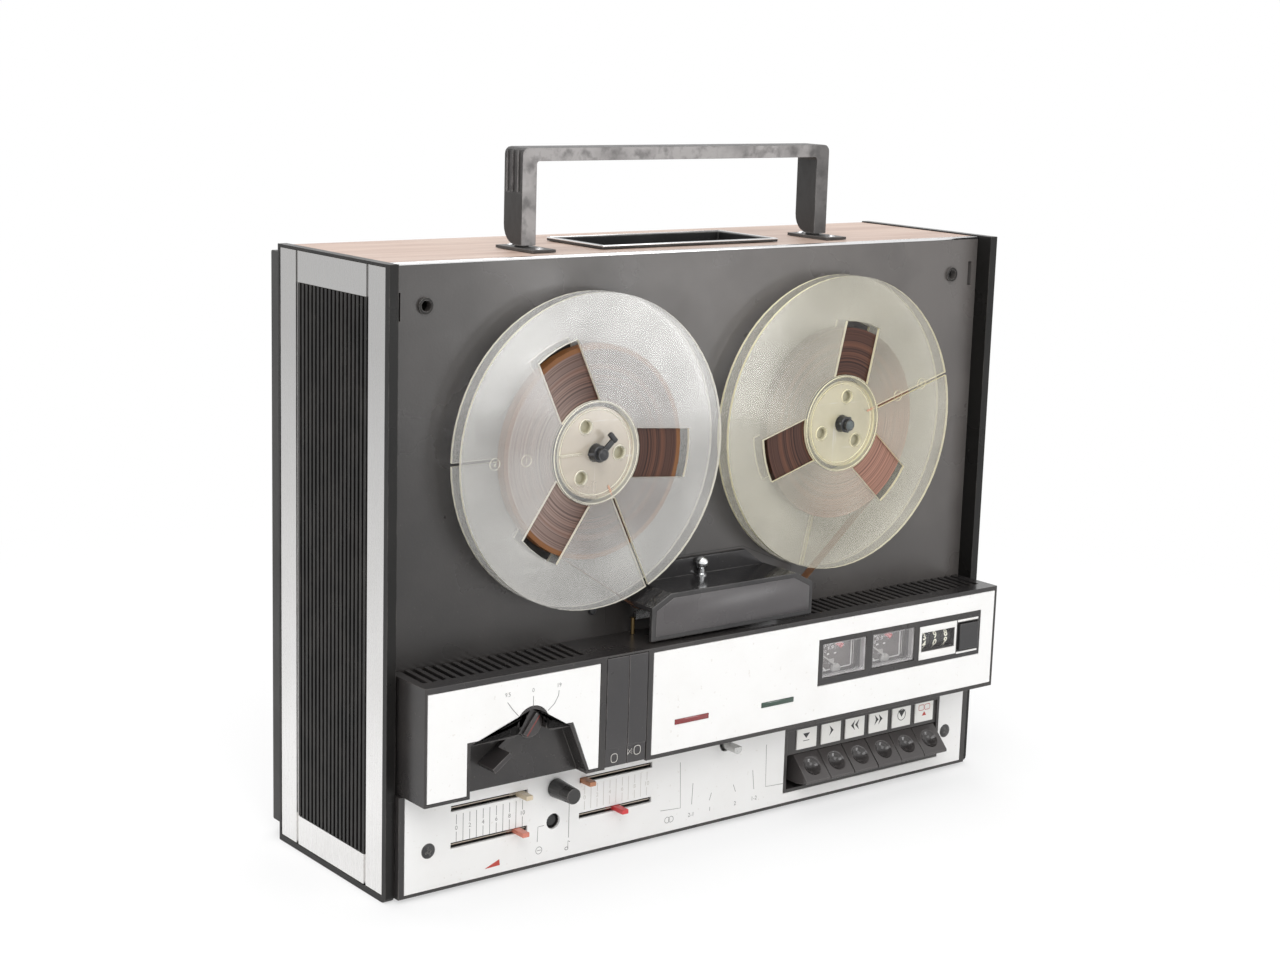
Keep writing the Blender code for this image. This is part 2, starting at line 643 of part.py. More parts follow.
def turned_x(y, z, profile, sides):
    """A body turned about an axis along X, from (radius, x) pairs; it may have a bore."""
    rings = []
    for radius, x in profile:
        rings.append([(x, y + u, z + v) for u, v in circle((0, 0), radius, sides)])
    return ring_body(rings)


def ring_body(rings):
    """A ring-shaped body whose profile closes on itself."""
    count = len(rings[0])
    points = [point for ring in rings for point in ring]
    faces = []
    for step in range(len(rings)):
        low = step * count
        high = (step + 1) % len(rings) * count
        for index in range(count):
            following = (index + 1) % count
            faces.append((low + index, low + following, high + following, high + index))
    return points, faces


def together(shapes):
    """Several shapes that don't touch, as one set of points and faces."""
    points = []
    faces = []
    for more_points, more_faces in shapes:
        start = len(points)
        points += more_points
        faces += [tuple(index + start for index in face) for face in more_faces]
    return points, faces


def turn_about(shape, pivot, axis, degrees):
    """A shape turned about a point."""
    matrix = Matrix.Translation(pivot) @ Matrix.Rotation(math.radians(degrees), 4, axis)
    matrix = matrix @ Matrix.Translation(-Vector(pivot))
    return [tuple(matrix @ Vector(point)) for point in shape[0]], shape[1]


def flip_x(shape):
    """The mirror image across the machine's middle plane."""
    return [(-x, y, z) for x, y, z in shape[0]], shape[1]


def spindle_y(x, z, profile, sides):
    """A solid turned body along Y, from (radius, y) pairs, with flat ends."""
    return loft([[(u, y, v) for u, v in circle((x, z), radius, sides)] for radius, y in profile])


def spindle_x(y, z, profile, sides):
    """A solid turned body along X, from (radius, x) pairs, with flat ends."""
    return loft([[(x, u, v) for u, v in circle((y, z), radius, sides)] for radius, x in profile])


def ellipsoid(centre, radii, sides, bands):
    """A closed egg-shaped body with one radius for each axis."""
    points = []
    for band in range(1, bands):
        lift = math.pi * band / bands
        for side in range(sides):
            turn = 2 * math.pi * side / sides
            unit = (math.sin(lift) * math.cos(turn), math.sin(lift) * math.sin(turn), math.cos(lift))
            points.append(tuple(c + r * u for c, r, u in zip(centre, radii, unit)))
    top = len(points)
    points.append((centre[0], centre[1], centre[2] + radii[2]))
    points.append((centre[0], centre[1], centre[2] - radii[2]))
    faces = []
    last = (bands - 2) * sides
    for side in range(sides):
        following = (side + 1) % sides
        faces.append((top, side, following))
        faces.append((top + 1, last + following, last + side))
        for band in range(bands - 2):
            low = band * sides
            faces.append((low + side, low + sides + side, low + sides + following, low + following))
    return points, faces


def place(obj, pivot):
    """Hangs an object on the machine's empty, with its own origin at the pivot."""
    obj.parent = machine
    obj.location = pivot
    obj.data.transform(Matrix.Translation(-Vector(pivot)))


def helper(shape, name, pivot):
    """A hidden body that shapes a piece through a Boolean."""
    tool = bpy.data.objects.new(name, mesh_from(shape, name))
    bpy.context.scene.collection.objects.link(tool)
    place(tool, pivot)
    tool.hide_render = True
    tool.display_type = "WIRE"
    return tool


def piece(name, surface, shape, steps=(), pivot=(0, 0, 0)):
    """One named piece: a first body, then what is joined to it or cut from it, in turn."""
    obj = bpy.data.objects.new(name, mesh_from(shape, name))
    bpy.context.scene.collection.objects.link(obj)
    place(obj, pivot)
    obj.data.materials.append(surface)
    for index, (kind, other) in enumerate(steps):
        change = obj.modifiers.new(kind, "BOOLEAN")
        change.operation = "UNION" if kind == "join" else "DIFFERENCE"
        change.object = helper(other, f"{name}_{kind}_{index}", pivot)
    obj.data.shade_smooth()
    obj.data.set_sharp_from_angle(angle=math.radians(SHARP_ANGLE))
    return obj


clear_scene()
machine = bpy.data.objects.new("machine", None)
bpy.context.scene.collection.objects.link(machine)
machine.location = (0, -(BOX_FRONT + BOX_REAR) / 2, 0)

BLACK = material("black_plastic", (0.035, 0.033, 0.032), 0.5)
DARK = material("dark_grey_plastic", (0.06, 0.055, 0.053), 0.55)
ALUMINIUM = material("aluminium", (0.78, 0.78, 0.77), 0.35, 1.0)
STEEL = material("steel", (0.55, 0.55, 0.56), 0.4, 1.0)
WOOD = material("wood_veneer", (0.42, 0.3, 0.22), 0.5)
WHITE = material("white_plate", (0.86, 0.85, 0.84), 0.4)
CLEAR = material("milky_plastic", (0.78, 0.78, 0.72), 0.3, 0.0, 0.5)
TAPE = material("brown_tape", (0.16, 0.08, 0.055), 0.35)
RUBBER = material("rubber", (0.03, 0.03, 0.03), 0.8)
CREAM = material("cream_plastic", (0.85, 0.78, 0.55), 0.45)
RED = material("red_plastic", (0.8, 0.1, 0.1), 0.45)
ORANGE = material("orange_plastic", (0.75, 0.36, 0.2), 0.45)
BOARD = material("circuit_board", (0.3, 0.22, 0.1), 0.6)
COPPER = material("transformer_iron", (0.25, 0.22, 0.2), 0.5)

# Side panels: black mouldings with upright ribs inside a frame-shaped recess for the bright trim.
RIB_FRONT = SIDE_LIP_FRONT + TRIM_FRONT_STRIP + TRIM_GROOVE_WIDTH
RIB_BACK = CASE_DEPTH - SIDE_LIP_REAR - TRIM_REAR_STRIP - TRIM_GROOVE_WIDTH
RIB_BOTTOM = SIDE_LIP_BOTTOM + TRIM_END_PLATE
RIB_TOP = CASE_HEIGHT - SIDE_LIP_TOP - TRIM_END_PLATE
RIB_PITCH = (RIB_BACK - RIB_FRONT - RIB_WIDTH) / (RIB_COUNT - 1)
RECESS_FLOOR = -HALF_WIDTH + SIDE_RECESS


def rib_comb():
    """The ribs on one thin bed, drawn out upwards."""
    bed = RECESS_FLOOR - RIB_BED
    outline = [(RECESS_FLOOR + BURY, RIB_FRONT)]
    for rib in range(RIB_COUNT):
        front = RIB_FRONT + rib * RIB_PITCH
        back = front + RIB_WIDTH
        crest = RECESS_FLOOR - RIB_HEIGHT
        if rib:
            outline.append((bed, front))
        outline += [(crest, front), (crest, back)]
        if rib < RIB_COUNT - 1:
            outline.append((bed, back))
    outline.append((RECESS_FLOOR + BURY, RIB_BACK))
    return prism_z(outline, RIB_BOTTOM, RIB_TOP)


def sound_slits():
    """Long slits between the ribs, in front of the loudspeaker."""
    slits = []
    for rib in range(1, RIB_COUNT - 2):
        middle = RIB_FRONT + rib * RIB_PITCH + (RIB_WIDTH + RIB_PITCH) / 2
        y0 = middle - SOUND_SLIT_WIDTH / 2
        left = -HALF_WIDTH - OVERRUN
        right = -INNER_HALF + OVERRUN
        slits.append(box(left, right, y0, y0 + SOUND_SLIT_WIDTH, SOUND_SLIT_BOTTOM, SOUND_SLIT_TOP))
    return together(slits)


def trim_plate():
    """The bright frame plate before its window and grooves are cut."""
    x1 = RECESS_FLOOR - GAP
    y1 = CASE_DEPTH - SIDE_LIP_REAR - GAP
    z1 = CASE_HEIGHT - SIDE_LIP_TOP - GAP
    return box(x1 - TRIM_THICK, x1, SIDE_LIP_FRONT + GAP, y1, SIDE_LIP_BOTTOM + GAP, z1)


def trim_cuts():
    """The window round the ribs, and the two grooves beside it."""
    x1 = RECESS_FLOOR - GAP
    x0 = x1 - TRIM_THICK
    window = box(x0 - OVERRUN, x1 + OVERRUN, RIB_FRONT - GAP, RIB_BACK + GAP, RIB_BOTTOM - GAP,
                 RIB_TOP + GAP)
    cuts = [("cut", window)]
    for y0 in (SIDE_LIP_FRONT + TRIM_FRONT_STRIP, RIB_BACK):
        groove = box(x0 - OVERRUN, x0 + TRIM_GROOVE, y0, y0 + TRIM_GROOVE_WIDTH, 0, CASE_HEIGHT)
        cuts.append(("cut", groove))
    return cuts


wall_outline = rounded(0, CASE_DEPTH, 0, CASE_HEIGHT, (SIDE_CORNER, 0, 0, 0))
wall = prism_x(wall_outline, -HALF_WIDTH, -INNER_HALF)
trim_recess = box(-HALF_WIDTH - OVERRUN, RECESS_FLOOR, SIDE_LIP_FRONT, CASE_DEPTH - SIDE_LIP_REAR,
                  SIDE_LIP_BOTTOM, CASE_HEIGHT - SIDE_LIP_TOP)
wall_steps = (("cut", trim_recess), ("join", rib_comb()), ("cut", sound_slits()))
piece("left_side_panel", BLACK, wall, wall_steps)
piece("right_side_panel", BLACK, flip_x(wall), [(kind, flip_x(shape)) for kind, shape in wall_steps])
piece("left_side_trim", ALUMINIUM, trim_plate(), trim_cuts())
piece("right_side_trim", ALUMINIUM, flip_x(trim_plate()), [(k, flip_x(s)) for k, s in trim_cuts()])

# Top and bottom boards between the side panels.
INSIDE = INNER_HALF - GAP
well_hole = box(-WELL_HALF + WELL_RIM, WELL_HALF - WELL_RIM, WELL_FRONT + WELL_RIM, WELL_BACK - WELL_RIM,
                BOARD_UNDERSIDE - OVERRUN, TOP_FACE + OVERRUN)
piece("top_panel", WOOD, box(-INSIDE, INSIDE, DECK_BACK + GAP, CASE_DEPTH, BOARD_UNDERSIDE, TOP_FACE),
      [("cut", well_hole)])
piece("bottom_panel", BLACK,
      box(-INSIDE, INSIDE, LOWER_FRONT + LOWER_DEPTH + GAP, CASE_DEPTH, 0, BOTTOM_BOARD))

# Rear cover with vent slots, and the socket panel behind its opening.
COVER_SIDE = HALF_WIDTH - REAR_COVER_INSET
COVER_START = CASE_DEPTH + GAP


def cover_ring(y, inset):
    """A rectangle of the rear cover's outside."""
    left = -COVER_SIDE + inset
    low = REAR_COVER_BOTTOM + inset
    high = REAR_COVER_TOP - inset
    return [(left, y, low), (-left, y, low), (-left, y, high), (left, y, high)]


def vents():
    """Rows of slots in two columns."""
    slots = []
    for middle in (VENT_LEFT_X, VENT_RIGHT_X):
        for row in range(VENT_ROWS):
            top = VENT_TOP_Z - row * VENT_PITCH
            slots.append(box(middle - VENT_WIDTH / 2, middle + VENT_WIDTH / 2,
                             BOX_REAR - REAR_COVER_WALL - OVERRUN, BOX_REAR + OVERRUN,
                             top - VENT_HEIGHT, top))
    return together(slots)


cover_inside = box(-COVER_SIDE + REAR_COVER_WALL, COVER_SIDE - REAR_COVER_WALL,
                   COVER_START - OVERRUN, BOX_REAR - REAR_COVER_WALL,
                   REAR_COVER_BOTTOM + REAR_COVER_WALL, REAR_COVER_TOP - REAR_COVER_WALL)
socket_left = SOCKET_PANEL_X - SOCKET_PANEL_WIDTH / 2
socket_right = SOCKET_PANEL_X + SOCKET_PANEL_WIDTH / 2
socket_low = SOCKET_PANEL_Z - SOCKET_PANEL_HEIGHT / 2
socket_high = SOCKET_PANEL_Z + SOCKET_PANEL_HEIGHT / 2
socket_opening = box(socket_left + REAR_COVER_WALL, socket_right - REAR_COVER_WALL,
                     BOX_REAR - REAR_COVER_WALL - OVERRUN, BOX_REAR + OVERRUN,
                     socket_low + REAR_COVER_WALL, socket_high - REAR_COVER_WALL)
cover_body = loft([cover_ring(COVER_START, 0), cover_ring(BOX_REAR - REAR_COVER_BEVEL, 0),
                   cover_ring(BOX_REAR, REAR_COVER_BEVEL)])
piece("rear_cover", BLACK, cover_body, [("cut", cover_inside), ("cut", vents()), ("cut", socket_opening)])

panel_back = BOX_REAR - REAR_COVER_WALL - GAP
panel_face = panel_back - SOCKET_PANEL_THICK
cup_xs = [SOCKET_FIRST_X + SOCKET_PITCH * index for index in range(SOCKET_COUNT)]
cups = [rod_y(x, SOCKET_PANEL_Z, SOCKET_RADIUS + SOCKET_CUP_WALL, panel_face - SOCKET_CUP_DEPTH,
              panel_face + BURY, SMALL_SIDE_COUNT) for x in cup_xs]
bores = [rod_y(x, SOCKET_PANEL_Z, SOCKET_RADIUS, panel_face - SOCKET_CUP_DEPTH + SOCKET_CUP_WALL,
               panel_back + OVERRUN, SMALL_SIDE_COUNT) for x in cup_xs]
inlet_left = MAINS_INLET_X - MAINS_INLET_WIDTH / 2
inlet_right = MAINS_INLET_X + MAINS_INLET_WIDTH / 2
inlet_low = SOCKET_PANEL_Z - MAINS_INLET_HEIGHT / 2
inlet_high = SOCKET_PANEL_Z + MAINS_INLET_HEIGHT / 2
cups.append(box(inlet_left - SOCKET_CUP_WALL, inlet_right + SOCKET_CUP_WALL, panel_face - SOCKET_CUP_DEPTH,
                panel_face + BURY, inlet_low - SOCKET_CUP_WALL, inlet_high + SOCKET_CUP_WALL))
bores.append(box(inlet_left, inlet_right, panel_face - SOCKET_CUP_DEPTH + SOCKET_CUP_WALL,
                 panel_back + OVERRUN, inlet_low, inlet_high))
piece("socket_panel", DARK, box(socket_left, socket_right, panel_face, panel_back, socket_low, socket_high),
      [("join", together(cups)), ("cut", together(bores))])

# Deck plate with its collared holes, latch slots and shaft holes.
DECK_BOTTOM = HOUSING_BOTTOM + HOUSING_WALL + GAP
DECK_TOP = CASE_HEIGHT - DECK_TOP_DROP
collars = [rod_y(side * COLLAR_X, COLLAR_Z, COLLAR_RADIUS, DECK_FRONT - COLLAR_HEIGHT, DECK_FRONT + BURY,
                 SMALL_SIDE_COUNT) for side in (-1, 1)]
deck_holes = [rod_y(side * COLLAR_X, COLLAR_Z, COLLAR_HOLE, DECK_FRONT - COLLAR_HEIGHT - OVERRUN,
                    DECK_BACK + OVERRUN, SMALL_SIDE_COUNT) for side in (-1, 1)]
deck_holes += [rod_y(x, z, SPINDLE_HOLE, DECK_FRONT - OVERRUN, DECK_BACK + OVERRUN)
               for x, z in zip(REEL_XS, REEL_ZS)]
deck_holes.append(rod_y(CAPSTAN_X, FLYWHEEL_Z, CAPSTAN_HOLE, DECK_FRONT - OVERRUN, DECK_BACK + OVERRUN,
                        SMALL_SIDE_COUNT))
deck_holes += [box(side * LATCH_X - LATCH_WIDTH / 2, side * LATCH_X + LATCH_WIDTH / 2,
                   DECK_FRONT - OVERRUN, DECK_BACK + OVERRUN, LATCH_BOTTOM, LATCH_TOP) for side in (-1, 1)]
piece("deck_plate", DARK, box(-INSIDE, INSIDE, DECK_FRONT, DECK_BACK, DECK_BOTTOM, DECK_TOP),
      [("join", together(collars)), ("cut", together(deck_holes))])

# Control housing: a hollow black moulding that carries the white plates and the instruments.
HOUSING_REAR = DECK_FRONT - GAP
PLATE_BED = HOUSING_FRONT + FASCIA_SINK + FASCIA_THICK + GAP
RECESS_BACK = SELECTOR_FLOOR + SELECTOR_FLOOR_THICK


def housing_top(y):
    """Height of the housing's sloping top at a depth."""
    if y < 0:
        return HOUSING_TOP_MID + (HOUSING_TOP_MID - HOUSING_TOP) * y / -HOUSING_FRONT
    return HOUSING_TOP_MID + (HOUSING_TOP_REAR - HOUSING_TOP_MID) * y / HOUSING_REAR


def housing_hollow(x0, x1, y0, y1):
    """The space under the housing's skin between two depths."""
    low = HOUSING_BOTTOM + HOUSING_WALL
    outline = [(y0, low), (y0, housing_top(y0) - HOUSING_WALL)]
    if y0 < 0 < y1:
        outline.append((0, HOUSING_TOP_MID - HOUSING_WALL))
    outline += [(y1, housing_top(y1) - HOUSING_WALL), (y1, low)]
    return prism_x(outline, x0, x1)


def fascia_outline(grow):
    """The left plate's outline, cut out over the speed selector."""
    cut_top = LEFT_FASCIA_CUT_TOP - grow
    radius = SELECTOR_RING_OUTER - grow
    foot = math.degrees(math.asin((SELECTOR_Z - cut_top) / radius))
    centre = (SELECTOR_X, SELECTOR_Z)
    outline = [(LEFT_FASCIA_LEFT - grow, FASCIA_BOTTOM - grow),
               (LEFT_FASCIA_CUT_LEFT + grow, FASCIA_BOTTOM - grow)]
    outline.append((LEFT_FASCIA_CUT_LEFT + grow, cut_top))
    outline += arc(centre, radius, HALF_TURN + foot, -foot, SMALL_SIDE_COUNT)
    outline.append((LEFT_FASCIA_CUT_RIGHT_TOP - grow, cut_top))
    outline += [(LEFT_FASCIA_CUT_RIGHT_FOOT - grow, FASCIA_BOTTOM - grow)]
    outline += [(LEFT_FASCIA_RIGHT + grow, FASCIA_BOTTOM - grow),
                (LEFT_FASCIA_RIGHT + grow, FASCIA_TOP + grow)]
    outline.append((LEFT_FASCIA_LEFT - grow, FASCIA_TOP + grow))
    return outline


def selector_recess():
    """The hollow that the speed selector's arm swings in, open at the bottom."""
    top = LEFT_FASCIA_CUT_TOP - SELECTOR_RIM
    foot = SELECTOR_RELIEF_ANGLE
    low = HOUSING_BOTTOM - OVERRUN
    outline = [(LEFT_FASCIA_CUT_LEFT + SELECTOR_RIM, low), (LEFT_FASCIA_CUT_LEFT + SELECTOR_RIM, top),
               (SELECTOR_X - SELECTOR_RELIEF, top)]
    outline += arc((SELECTOR_X, SELECTOR_Z), SELECTOR_RING_INNER, HALF_TURN + foot, -foot, SMALL_SIDE_COUNT)
    outline.append((SELECTOR_X + SELECTOR_RELIEF, top))
    outline.append((LEFT_FASCIA_CUT_RIGHT_TOP - SELECTOR_RIM, top))
    outline.append((LEFT_FASCIA_CUT_RIGHT_FOOT - SELECTOR_RIM, FASCIA_BOTTOM))
    outline.append((LEFT_FASCIA_CUT_RIGHT_FOOT - SELECTOR_RIM, low))
    return prism_y(outline, HOUSING_FRONT - OVERRUN, SELECTOR_FLOOR)


def louvres():
    """Slanted slots through the housing's top."""
    slots = []
    for start, count in ((LOUVRE_LEFT_START, LOUVRE_LEFT_COUNT), (LOUVRE_RIGHT_START, LOUVRE_RIGHT_COUNT)):
        for index in range(count):
            x = start + index * LOUVRE_PITCH
            outline = [(x, LOUVRE_FRONT), (x + LOUVRE_WIDTH, LOUVRE_FRONT),
                       (x + LOUVRE_WIDTH - LOUVRE_SLANT, LOUVRE_REAR), (x - LOUVRE_SLANT, LOUVRE_REAR)]
            slots.append(prism_z(outline, HOUSING_TOP_REAR - HOUSING_WALL - OVERRUN, HOUSING_TOP + OVERRUN))
    return together(slots)


def corner_wedge(side):
    """What is taken off an upright front corner."""
    edge = side * HOUSING_HALF
    outline = [(edge + side * OVERRUN, HOUSING_FRONT + HOUSING_BEVEL + OVERRUN),
               (edge - side * (HOUSING_BEVEL + OVERRUN), HOUSING_FRONT - OVERRUN),
               (edge + side * OVERRUN, HOUSING_FRONT - OVERRUN)]
    return prism_z(outline, HOUSING_BOTTOM - OVERRUN, HOUSING_TOP + OVERRUN)


housing_profile = [(HOUSING_FRONT, HOUSING_BOTTOM), (HOUSING_FRONT, HOUSING_TOP), (0, HOUSING_TOP_MID),
                   (HOUSING_REAR, HOUSING_TOP_REAR), (HOUSING_REAR, HOUSING_BOTTOM)]
inside_half = HOUSING_HALF - HOUSING_WALL
hollow_front = HOUSING_FRONT + HOUSING_FACE
face_back = hollow_front + OVERRUN
tall_key_opening = box(TALL_KEY_LEFT, TALL_KEY_RIGHT, HOUSING_FRONT - OVERRUN,
                       HOUSING_FRONT + 2 * HOUSING_FACE + OVERRUN, HOUSING_BOTTOM - OVERRUN,
                       TALL_KEY_TOP + GAP)
right_recess = box(RIGHT_FASCIA_LEFT - GAP, RIGHT_FASCIA_RIGHT + GAP, HOUSING_FRONT - OVERRUN, PLATE_BED,
                   RIGHT_FASCIA_BOTTOM - GAP, RIGHT_FASCIA_TOP + GAP)
bezel = box(BEZEL_LEFT, BEZEL_RIGHT, HOUSING_FRONT, PLATE_BED + BURY, BEZEL_BOTTOM, BEZEL_TOP)
windows = [box(x, x + METER_WIDTH, HOUSING_FRONT - OVERRUN, face_back, METER_BOTTOM, METER_TOP)
           for x in METER_LEFTS]
windows.append(box(COUNTER_LEFT, COUNTER_RIGHT, HOUSING_FRONT - OVERRUN, face_back, COUNTER_BOTTOM,
                   COUNTER_TOP))
windows.append(box(RESET_LEFT, RESET_RIGHT, HOUSING_FRONT - OVERRUN, face_back, RESET_BOTTOM, RESET_TOP))
selector_hole = rod_y(SELECTOR_X, SELECTOR_Z, SELECTOR_SHAFT + BEARING_CLEAR, SELECTOR_FLOOR - OVERRUN,
                      RECESS_BACK + OVERRUN, SMALL_SIDE_COUNT)
housing_steps = [
    ("cut", housing_hollow(-inside_half, inside_half, RECESS_BACK, HOUSING_REAR + OVERRUN)),
    ("cut", housing_hollow(-inside_half, LEFT_FASCIA_CUT_LEFT - HOUSING_WALL, hollow_front,
                           RECESS_BACK + OVERRUN)),
    ("cut", housing_hollow(LEFT_FASCIA_RIGHT, inside_half, hollow_front, RECESS_BACK + OVERRUN)),
    ("cut", prism_y(fascia_outline(GAP), HOUSING_FRONT - OVERRUN, PLATE_BED)),
    ("cut", selector_recess()),
    ("cut", right_recess),
    ("join", bezel),
    ("cut", together(windows)),
    ("cut", tall_key_opening),
    ("cut", selector_hole),
    ("cut", louvres()),
    ("cut", together([corner_wedge(-1), corner_wedge(1)])),
]
piece("control_housing", BLACK, prism_x(housing_profile, -HOUSING_HALF, HOUSING_HALF), housing_steps)

# White plates let into the housing's face.
plate_front = HOUSING_FRONT + FASCIA_SINK
plate_back = plate_front + FASCIA_THICK
piece("left_fascia", WHITE, prism_y(fascia_outline(0), plate_front, plate_back))
bezel_hole = box(BEZEL_LEFT - GAP, BEZEL_RIGHT + GAP, plate_front - OVERRUN, plate_back + OVERRUN,
                 BEZEL_BOTTOM - GAP, BEZEL_TOP + GAP)
lamp_holes = [box(x0, x1, plate_front - OVERRUN, plate_back + OVERRUN, z - LAMP_HEIGHT / 2,
                  z + LAMP_HEIGHT / 2)
              for x0, x1, z in ((RED_LAMP_LEFT, RED_LAMP_RIGHT, RED_LAMP_Z),
                                (GREEN_LAMP_LEFT, GREEN_LAMP_RIGHT, GREEN_LAMP_Z))]
piece("right_fascia", WHITE, box(RIGHT_FASCIA_LEFT, RIGHT_FASCIA_RIGHT, plate_front, plate_back,
                                 RIGHT_FASCIA_BOTTOM, RIGHT_FASCIA_TOP),
      [("cut", bezel_hole), ("cut", together(lamp_holes))])

# Instrument unit: both meter movements and the counter's cradle with its axle.
unit_front = hollow_front + GAP
unit_left = METER_LEFTS[0] - CRADLE_WALL
unit_right = METER_LEFTS[1] + METER_WIDTH + CRADLE_WALL
pit_floor = unit_front + METER_PIT
drum_back = DRUM_Y + DRUM_RADIUS + DRUM_SPACE
cheek_left = COUNTER_RIGHT + DRUM_SPACE
cheek_right = cheek_left + CRADLE_WALL
drum_low = DRUM_Z - DRUM_RADIUS
drum_high = DRUM_Z + DRUM_RADIUS
pits = [box(x + BURY, x + METER_WIDTH - BURY, unit_front - OVERRUN, pit_floor, METER_BOTTOM + BURY,
            METER_TOP - BURY)
        for x in METER_LEFTS]
cradle_back = box(unit_right - BURY, cheek_right, drum_back, drum_back + CRADLE_WALL, drum_low, drum_high)
cheek = box(cheek_left, cheek_right, DRUM_Y - DRUM_RADIUS / 2, drum_back + BURY, drum_low, drum_high)
axle = rod_x(DRUM_Y, DRUM_Z, DRUM_AXLE, unit_right - BURY, cheek_left + BURY, SMALL_SIDE_COUNT)
piece("instrument_unit", DARK, box(unit_left, unit_right, unit_front, METER_BODY_BACK,
                                   METER_BOTTOM - CRADLE_WALL, METER_TOP + CRADLE_WALL),
      [("cut", together(pits)), ("join", cradle_back), ("join", cheek), ("join", axle)])

# Meter needles, each on its own pivot in front of the dial.
for name, left in zip(("left_meter_needle", "right_meter_needle"), METER_LEFTS):
    x = left + METER_WIDTH / 2
    z = METER_BOTTOM + NEEDLE_HUB_RISE + NEEDLE_HUB / 2
    back = pit_floor - GAP
    bar = box(x, x + NEEDLE_LENGTH, back - 2 * NEEDLE_THICK, back - NEEDLE_THICK, z - NEEDLE_WIDTH / 2,
              z + NEEDLE_WIDTH / 2)
    bar = turn_about(bar, (x, 0, z), "Y", -NEEDLE_REST_ANGLE)
    hub = rod_y(x, z, NEEDLE_HUB / 2, back - 3 * NEEDLE_THICK, back, SMALL_SIDE_COUNT)
    piece(name, RED, hub, [("join", bar)], (x, back, z))

# Counter drums and the reset button beside them.
drum_room = COUNTER_RIGHT - COUNTER_LEFT - DRUM_SPACE
drum_pitch = drum_room / DRUM_COUNT
for index in range(DRUM_COUNT):
    left = COUNTER_LEFT + DRUM_SPACE + index * drum_pitch
    right = left + drum_pitch - DRUM_SPACE
    profile = [(DRUM_BORE, left), (DRUM_RADIUS, left), (DRUM_RADIUS, right), (DRUM_BORE, right)]
    piece(f"counter_drum_{index + 1}", BLACK, turned_x(DRUM_Y, DRUM_Z, profile, MEDIUM_SIDE_COUNT), (),
          (left, DRUM_Y, DRUM_Z))
reset_front = HOUSING_FRONT - RESET_PROUD
piece("reset_button", BLACK,
      box(RESET_LEFT + GAP, RESET_RIGHT - GAP, reset_front, reset_front + RESET_LENGTH,
                                 RESET_BOTTOM + GAP, RESET_TOP - GAP), (),
      ((RESET_LEFT + RESET_RIGHT) / 2, reset_front, (RESET_BOTTOM + RESET_TOP) / 2))

# Speed selector: a hub on a shaft, with a flat arm that ends in an upright finger tab.
arm_back = SELECTOR_FLOOR - GAP
half_arm = SELECTOR_ARM_THICK / 2
arm_blade = box(0, SELECTOR_TAB_END, SELECTOR_ARM_FACE, arm_back, -half_arm, half_arm)
tab_blade = box(SELECTOR_TAB_START, SELECTOR_TAB_END, SELECTOR_TAB_FACE, SELECTOR_ARM_FACE + BURY,
                -half_arm, half_arm)
selector_steps = []
for blade in (arm_blade, tab_blade):
    swung = turn_about(blade, (0, 0, 0), "Y", -SELECTOR_ARM_ANGLE)
    selector_steps.append(("join", ([(x + SELECTOR_X, y, z + SELECTOR_Z) for x, y, z in swung[0]],
                                    swung[1])))
piece("speed_selector", BLACK,
      spindle_y(SELECTOR_X, SELECTOR_Z, [(SELECTOR_HUB, SELECTOR_HUB_FACE), (SELECTOR_HUB, arm_back),
                                         (SELECTOR_SHAFT, arm_back), (SELECTOR_SHAFT, SELECTOR_SHAFT_BACK)],
                MEDIUM_SIDE_COUNT),
      selector_steps, (SELECTOR_X, arm_back, SELECTOR_Z))

# Two tall keys, hinged at the top.
tall_low = TALL_KEY_BOTTOM + TALL_KEY_LABEL_RISE
tall_profile = [(HOUSING_FRONT + TALL_KEY_LABEL_STEP, TALL_KEY_BOTTOM),
                (HOUSING_FRONT + TALL_KEY_LABEL_STEP, tall_low),
                (HOUSING_FRONT, tall_low + TALL_KEY_LABEL_STEP), (HOUSING_FRONT, TALL_KEY_TOP),
                (HOUSING_FRONT + TALL_KEY_THICK, TALL_KEY_TOP),
                (HOUSING_FRONT + TALL_KEY_THICK, TALL_KEY_BOTTOM)]
tall_pivot = (0, HOUSING_FRONT + TALL_KEY_THICK / 2, TALL_KEY_TOP - TALL_KEY_PIVOT_DROP)
piece("tall_key_left", BLACK, prism_x(tall_profile, TALL_KEY_LEFT + GAP, TALL_KEY_MIDDLE - GAP / 2), (),
      tall_pivot)
piece("tall_key_right", BLACK, prism_x(tall_profile, TALL_KEY_MIDDLE + GAP / 2, TALL_KEY_RIGHT - GAP), (),
      tall_pivot)

# Lower frame: the black front below the housing, with the key bay and the keys' shaft.
LOWER_TOP = HOUSING_BOTTOM - GAP
LOWER_BACK = LOWER_FRONT + LOWER_DEPTH
lower_bed = LOWER_FRONT + FASCIA_SINK + FASCIA_THICK + GAP
lower_inside = LOWER_FRONT + LOWER_FACE
BAY_INNER_LEFT = BAY_LEFT + BAY_RIM
BAY_INNER_RIGHT = BAY_RIGHT - BAY_RIM
slot_spans = ((LEFT_SLOT_START, LEFT_SLOT_END, SLOT_UPPER_Z),
              (LEFT_SLOT_START, LEFT_SLOT_END, SLOT_LOWER_Z),
              (RIGHT_SLOT_START, RIGHT_SLOT_END, SLOT_UPPER_Z),
              (RIGHT_SLOT_START, RIGHT_SLOT_END, SLOT_LOWER_Z))
control_places = ((TONE_X, TONE_Z), (LEVEL_X, LEVEL_Z), (INPUT_X, INPUT_Z))


